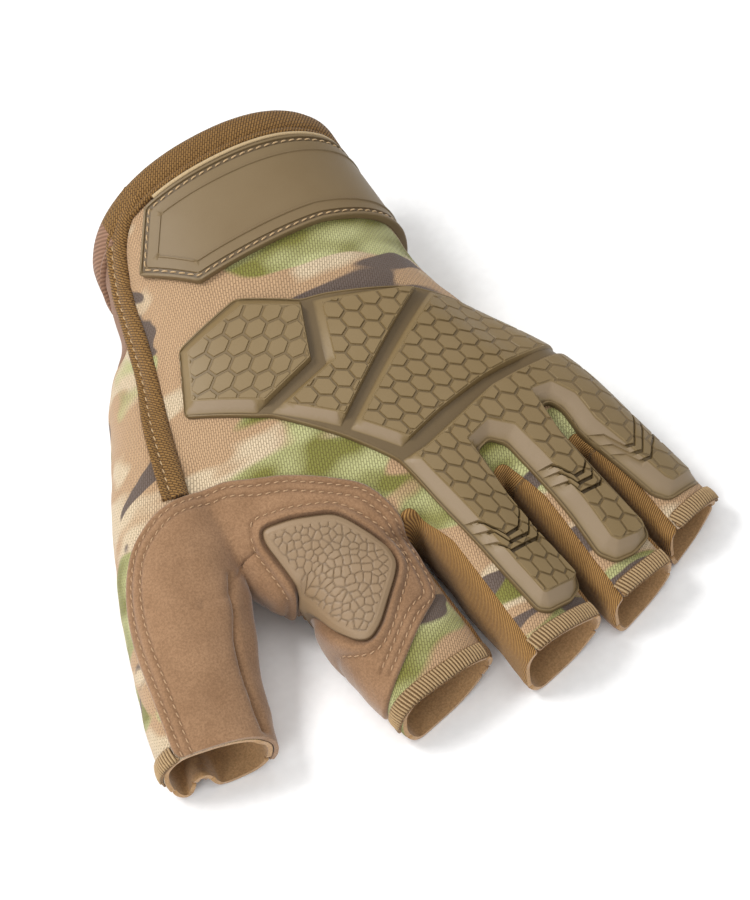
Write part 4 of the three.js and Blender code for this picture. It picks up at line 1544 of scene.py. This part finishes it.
def ribbed(name, base, dark, turn, pitch):
    paint = Paint(name, 0.8, sheen=0.1, specular=0.3)
    node = paint.node("ShaderNodeTexWave", Vector=paint.cloth(turn), Scale=0.31 / pitch, Distortion=0.4,
                      Detail_Scale=2.0)
    wave = node.outputs["Fac"]
    shade = paint.mix(wave, colour(*dark), colour(*base))
    shade = paint.specked(shade, paint.noise(paint.spot, 0.5, 1.0), (0.3, 0.7), 0.3, dark)
    return paint.finish(shade, wave, 0.16, 0.9)


def knit(name, base, dark):
    paint = Paint(name, 0.85, sheen=0.1, specular=0.25)
    weave = grain(paint, 55, 1.5, 0.7, 0.2)
    shade = paint.mix(weave, colour(*dark), colour(*base))
    shade = paint.specked(shade, paint.noise(paint.spot, 0.4, 2.0), (0.3, 0.7), 0.35, dark)
    return paint.finish(shade, weave, 0.18, 0.9)


def thread(name, base):
    paint = Paint(name, 0.7, sheen=0.2, specular=0.3)
    fine = paint.noise(paint.spot, 0.3, 1.0)
    return paint.finish(paint.specked(colour(*base), fine, (0.3, 0.7), 0.3, (80, 56, 30)), fine, 0.05, 0.5)


CAMO = camouflage()
SUEDE = suede("suede_patch", painted_shading=True)
PALM_SUEDE = suede("suede_palm", (160, 122, 92), (120, 88, 62))
LINING = suede("lining_cloth", (200, 160, 114), (170, 132, 90))
UNDERLAP = ribbed("underlap_cloth", (160, 124, 100), (120, 88, 68), 40, 0.9)
TWILL = ribbed("fourchette_twill", (188, 144, 82), (100, 66, 30), 62, 0.6)
TAPE = knit("binding_tape_knit", (156, 118, 66), (74, 48, 20))
HEM_KNIT = knit("hem_knit", (166, 132, 92), (96, 68, 36))
GUARD_RUBBER = rubber("guard_rubber", (132, 110, 72), (140, 119, 84))
PAD_RUBBER = rubber("pad_rubber", (152, 126, 96), (140, 118, 90))
# The tab's rubber is the guard's, made a little darker as painted shade against the stronger light that falls
# on the tab
SHADED_TAB_RUBBER = rubber("tab_rubber_shaded", (124, 103, 70), (132, 112, 80))
LIGHT_THREAD = thread("light_thread", (204, 172, 128))
PATCH_THREAD = thread("patch_thread", (190, 154, 118))
TAN_THREAD = thread("tan_thread", (188, 158, 116))
DARK_THREAD = thread("dark_thread", (118, 88, 50))
PIPING = thread("piping_cloth", (204, 178, 136))


def above_palm(points):
    return PALM_TOP - points[:, 2]


def palm_value(points):
    return np.maximum(-above_palm(points), past_end(points))


def side_value(points, *others):
    """Below 0 above the palm, inside the open ends and inside every other limit given."""
    return np.maximum.reduce([above_palm(points), past_end(points), *others])


def back_value(points):
    strips = [-fourchette_value(points, slit) for slit in SLITS]
    return side_value(points, -thumb_side_value(points), *strips)


def gusset_value(points):
    return side_value(points, thumb_side_value(points), points[:, 1] - UNDERLAP_START + 0.2)


def underlap_value(points):
    return side_value(points, thumb_side_value(points), UNDERLAP_START - points[:, 1])


def finish_piece(piece, nodes=()):
    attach(piece, "root")
    if nodes:
        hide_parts(*nodes)


finish_piece(panel("palm_suede", palm_value, PALM_SUEDE, LINING), ["palm"])
finish_piece(panel("back_cloth", back_value, CAMO, LINING), ["back_panel"])
finish_piece(panel("gusset_cloth", gusset_value, CAMO, LINING), ["side_gusset"])
finish_piece(panel("underlap_cloth", underlap_value, UNDERLAP, LINING), ["wrist_underlap"])
for slit, between in zip(SLITS, ("index_middle", "middle_ring", "ring_little")):
    def value(points, slit=slit):
        return side_value(points, fourchette_value(points, slit))
    strip = panel(f"fourchette_{between}_twill", value, TWILL, LINING, seam=0.5)
    finish_piece(strip, [f"fourchette_{between}"])

finish_piece(build_patch(SUEDE), ["thumb_patch"])
SUEDE_STITCH = {"length": 1.45, "gap": 0.95, "radius": 0.21, "rise": 0.06}
pad_row = respaced(np.concatenate([PAD_ROW, PAD_ROW[:1]]), 1.0)
for name, rows, groove in (("thumb_patch", PATCH_ROWS, 0.42), ("saddle_pad", [pad_row], 0.3)):
    seam = row_stitches(name + "_stitching", rows, PATCH_HEIGHT - groove, PATCH_THREAD, **SUEDE_STITCH)
    finish_piece(seam)
finish_piece(build_pad(PAD_RUBBER), ["saddle_pad"])
finish_piece(build_guard(GUARD_RUBBER), ["knuckle_guard"])
tab, tab_seam = build_tab(SHADED_TAB_RUBBER, LIGHT_THREAD)
finish_piece(tab, ["cuff_tab"])
finish_piece(tab_seam)
finish_piece(build_piping(PIPING))
tape = ring_binding(TAPE, UNDERLAP)
flap, flap_seam = flap_tape(TAPE, LIGHT_THREAD)
finish_piece(tape, ["edge_binding"])
finish_piece(flap, ["edge_binding"])
finish_piece(flap_seam)
for name in DIGITS:
    hem, *hem_threads = build_hem(name, HEM_KNIT, [TAN_THREAD, DARK_THREAD])
    finish_piece(hem, [name + "_hem"])
    for piece in hem_threads:
        finish_piece(piece)


FLOOR_REACH = 3.0
# The camera looks from the photo's side: angles in degrees, metres, and a long lens
AZIMUTH = -30
ELEVATION = 60
DISTANCE = 0.8
TARGET = Vector(ORIGIN_SHIFT * MM) + Vector((0, 0, 20 * MM))
SENSOR = 36
LENS = 2880 / 900 * SENSOR


def stage():
    mesh = bpy.data.meshes.new("floor")
    corners = [(x * FLOOR_REACH, y * FLOOR_REACH, 0) for x, y in ((-1, -1), (1, -1), (1, 1), (-1, 1))]
    mesh.from_pydata(corners, [], [(0, 1, 2, 3)])
    floor = linked("floor", mesh)
    paint = Paint("floor_paper", 0.9, specular=0.1)
    fibre = paint.ramp(paint.noise(paint.spot, 3, 1.0), 0.3, 0.7)
    shade = paint.mix(fibre, colour(250, 250, 250, 1), colour(254, 254, 254, 1))
    floor.data.materials.append(paint.finish(shade))


def lamp(name, place, target, size, power):
    light = bpy.data.lights.new(name, "AREA")
    light.energy = power
    light.shape = "RECTANGLE"
    light.size, light.size_y = size
    holder = linked(name, light)
    holder.location = place
    holder.rotation_euler = (Vector(target) - Vector(place)).to_track_quat("-Z", "Y").to_euler()


def camera():
    azimuth, elevation = math.radians(AZIMUTH), math.radians(ELEVATION)
    level = math.cos(elevation)
    back = Vector((math.sin(azimuth) * level, -math.cos(azimuth) * level, math.sin(elevation)))
    data = bpy.data.cameras.new("camera")
    data.sensor_fit = "VERTICAL"
    data.sensor_height = SENSOR
    data.lens = LENS
    data.clip_start = 0.01
    holder = linked("camera", data)
    holder.location = TARGET + back * DISTANCE
    holder.rotation_euler = back.to_track_quat("Z", "Y").to_euler()
    bpy.context.scene.camera = holder


stage()
camera()
lamp("key", (-0.56, 0.44, 1.0), (0, 0, 0.02), (0.35, 0.35), 8.6)
lamp("front", (-0.9, -0.5, 0.5), (0, 0, 0.02), (0.5, 0.35), 4.2)
lamp("overhead", (0.1, 0.0, 1.2), (0, 0, 0), (0.9, 0.9), 2.4)
world = bpy.data.worlds.new("studio")
world.use_nodes = True
world.node_tree.nodes["Background"].inputs["Color"].default_value = (1, 1, 1, 1)
world.node_tree.nodes["Background"].inputs["Strength"].default_value = 0.62
bpy.context.scene.world = world
bpy.context.scene.view_settings.view_transform = "Standard"
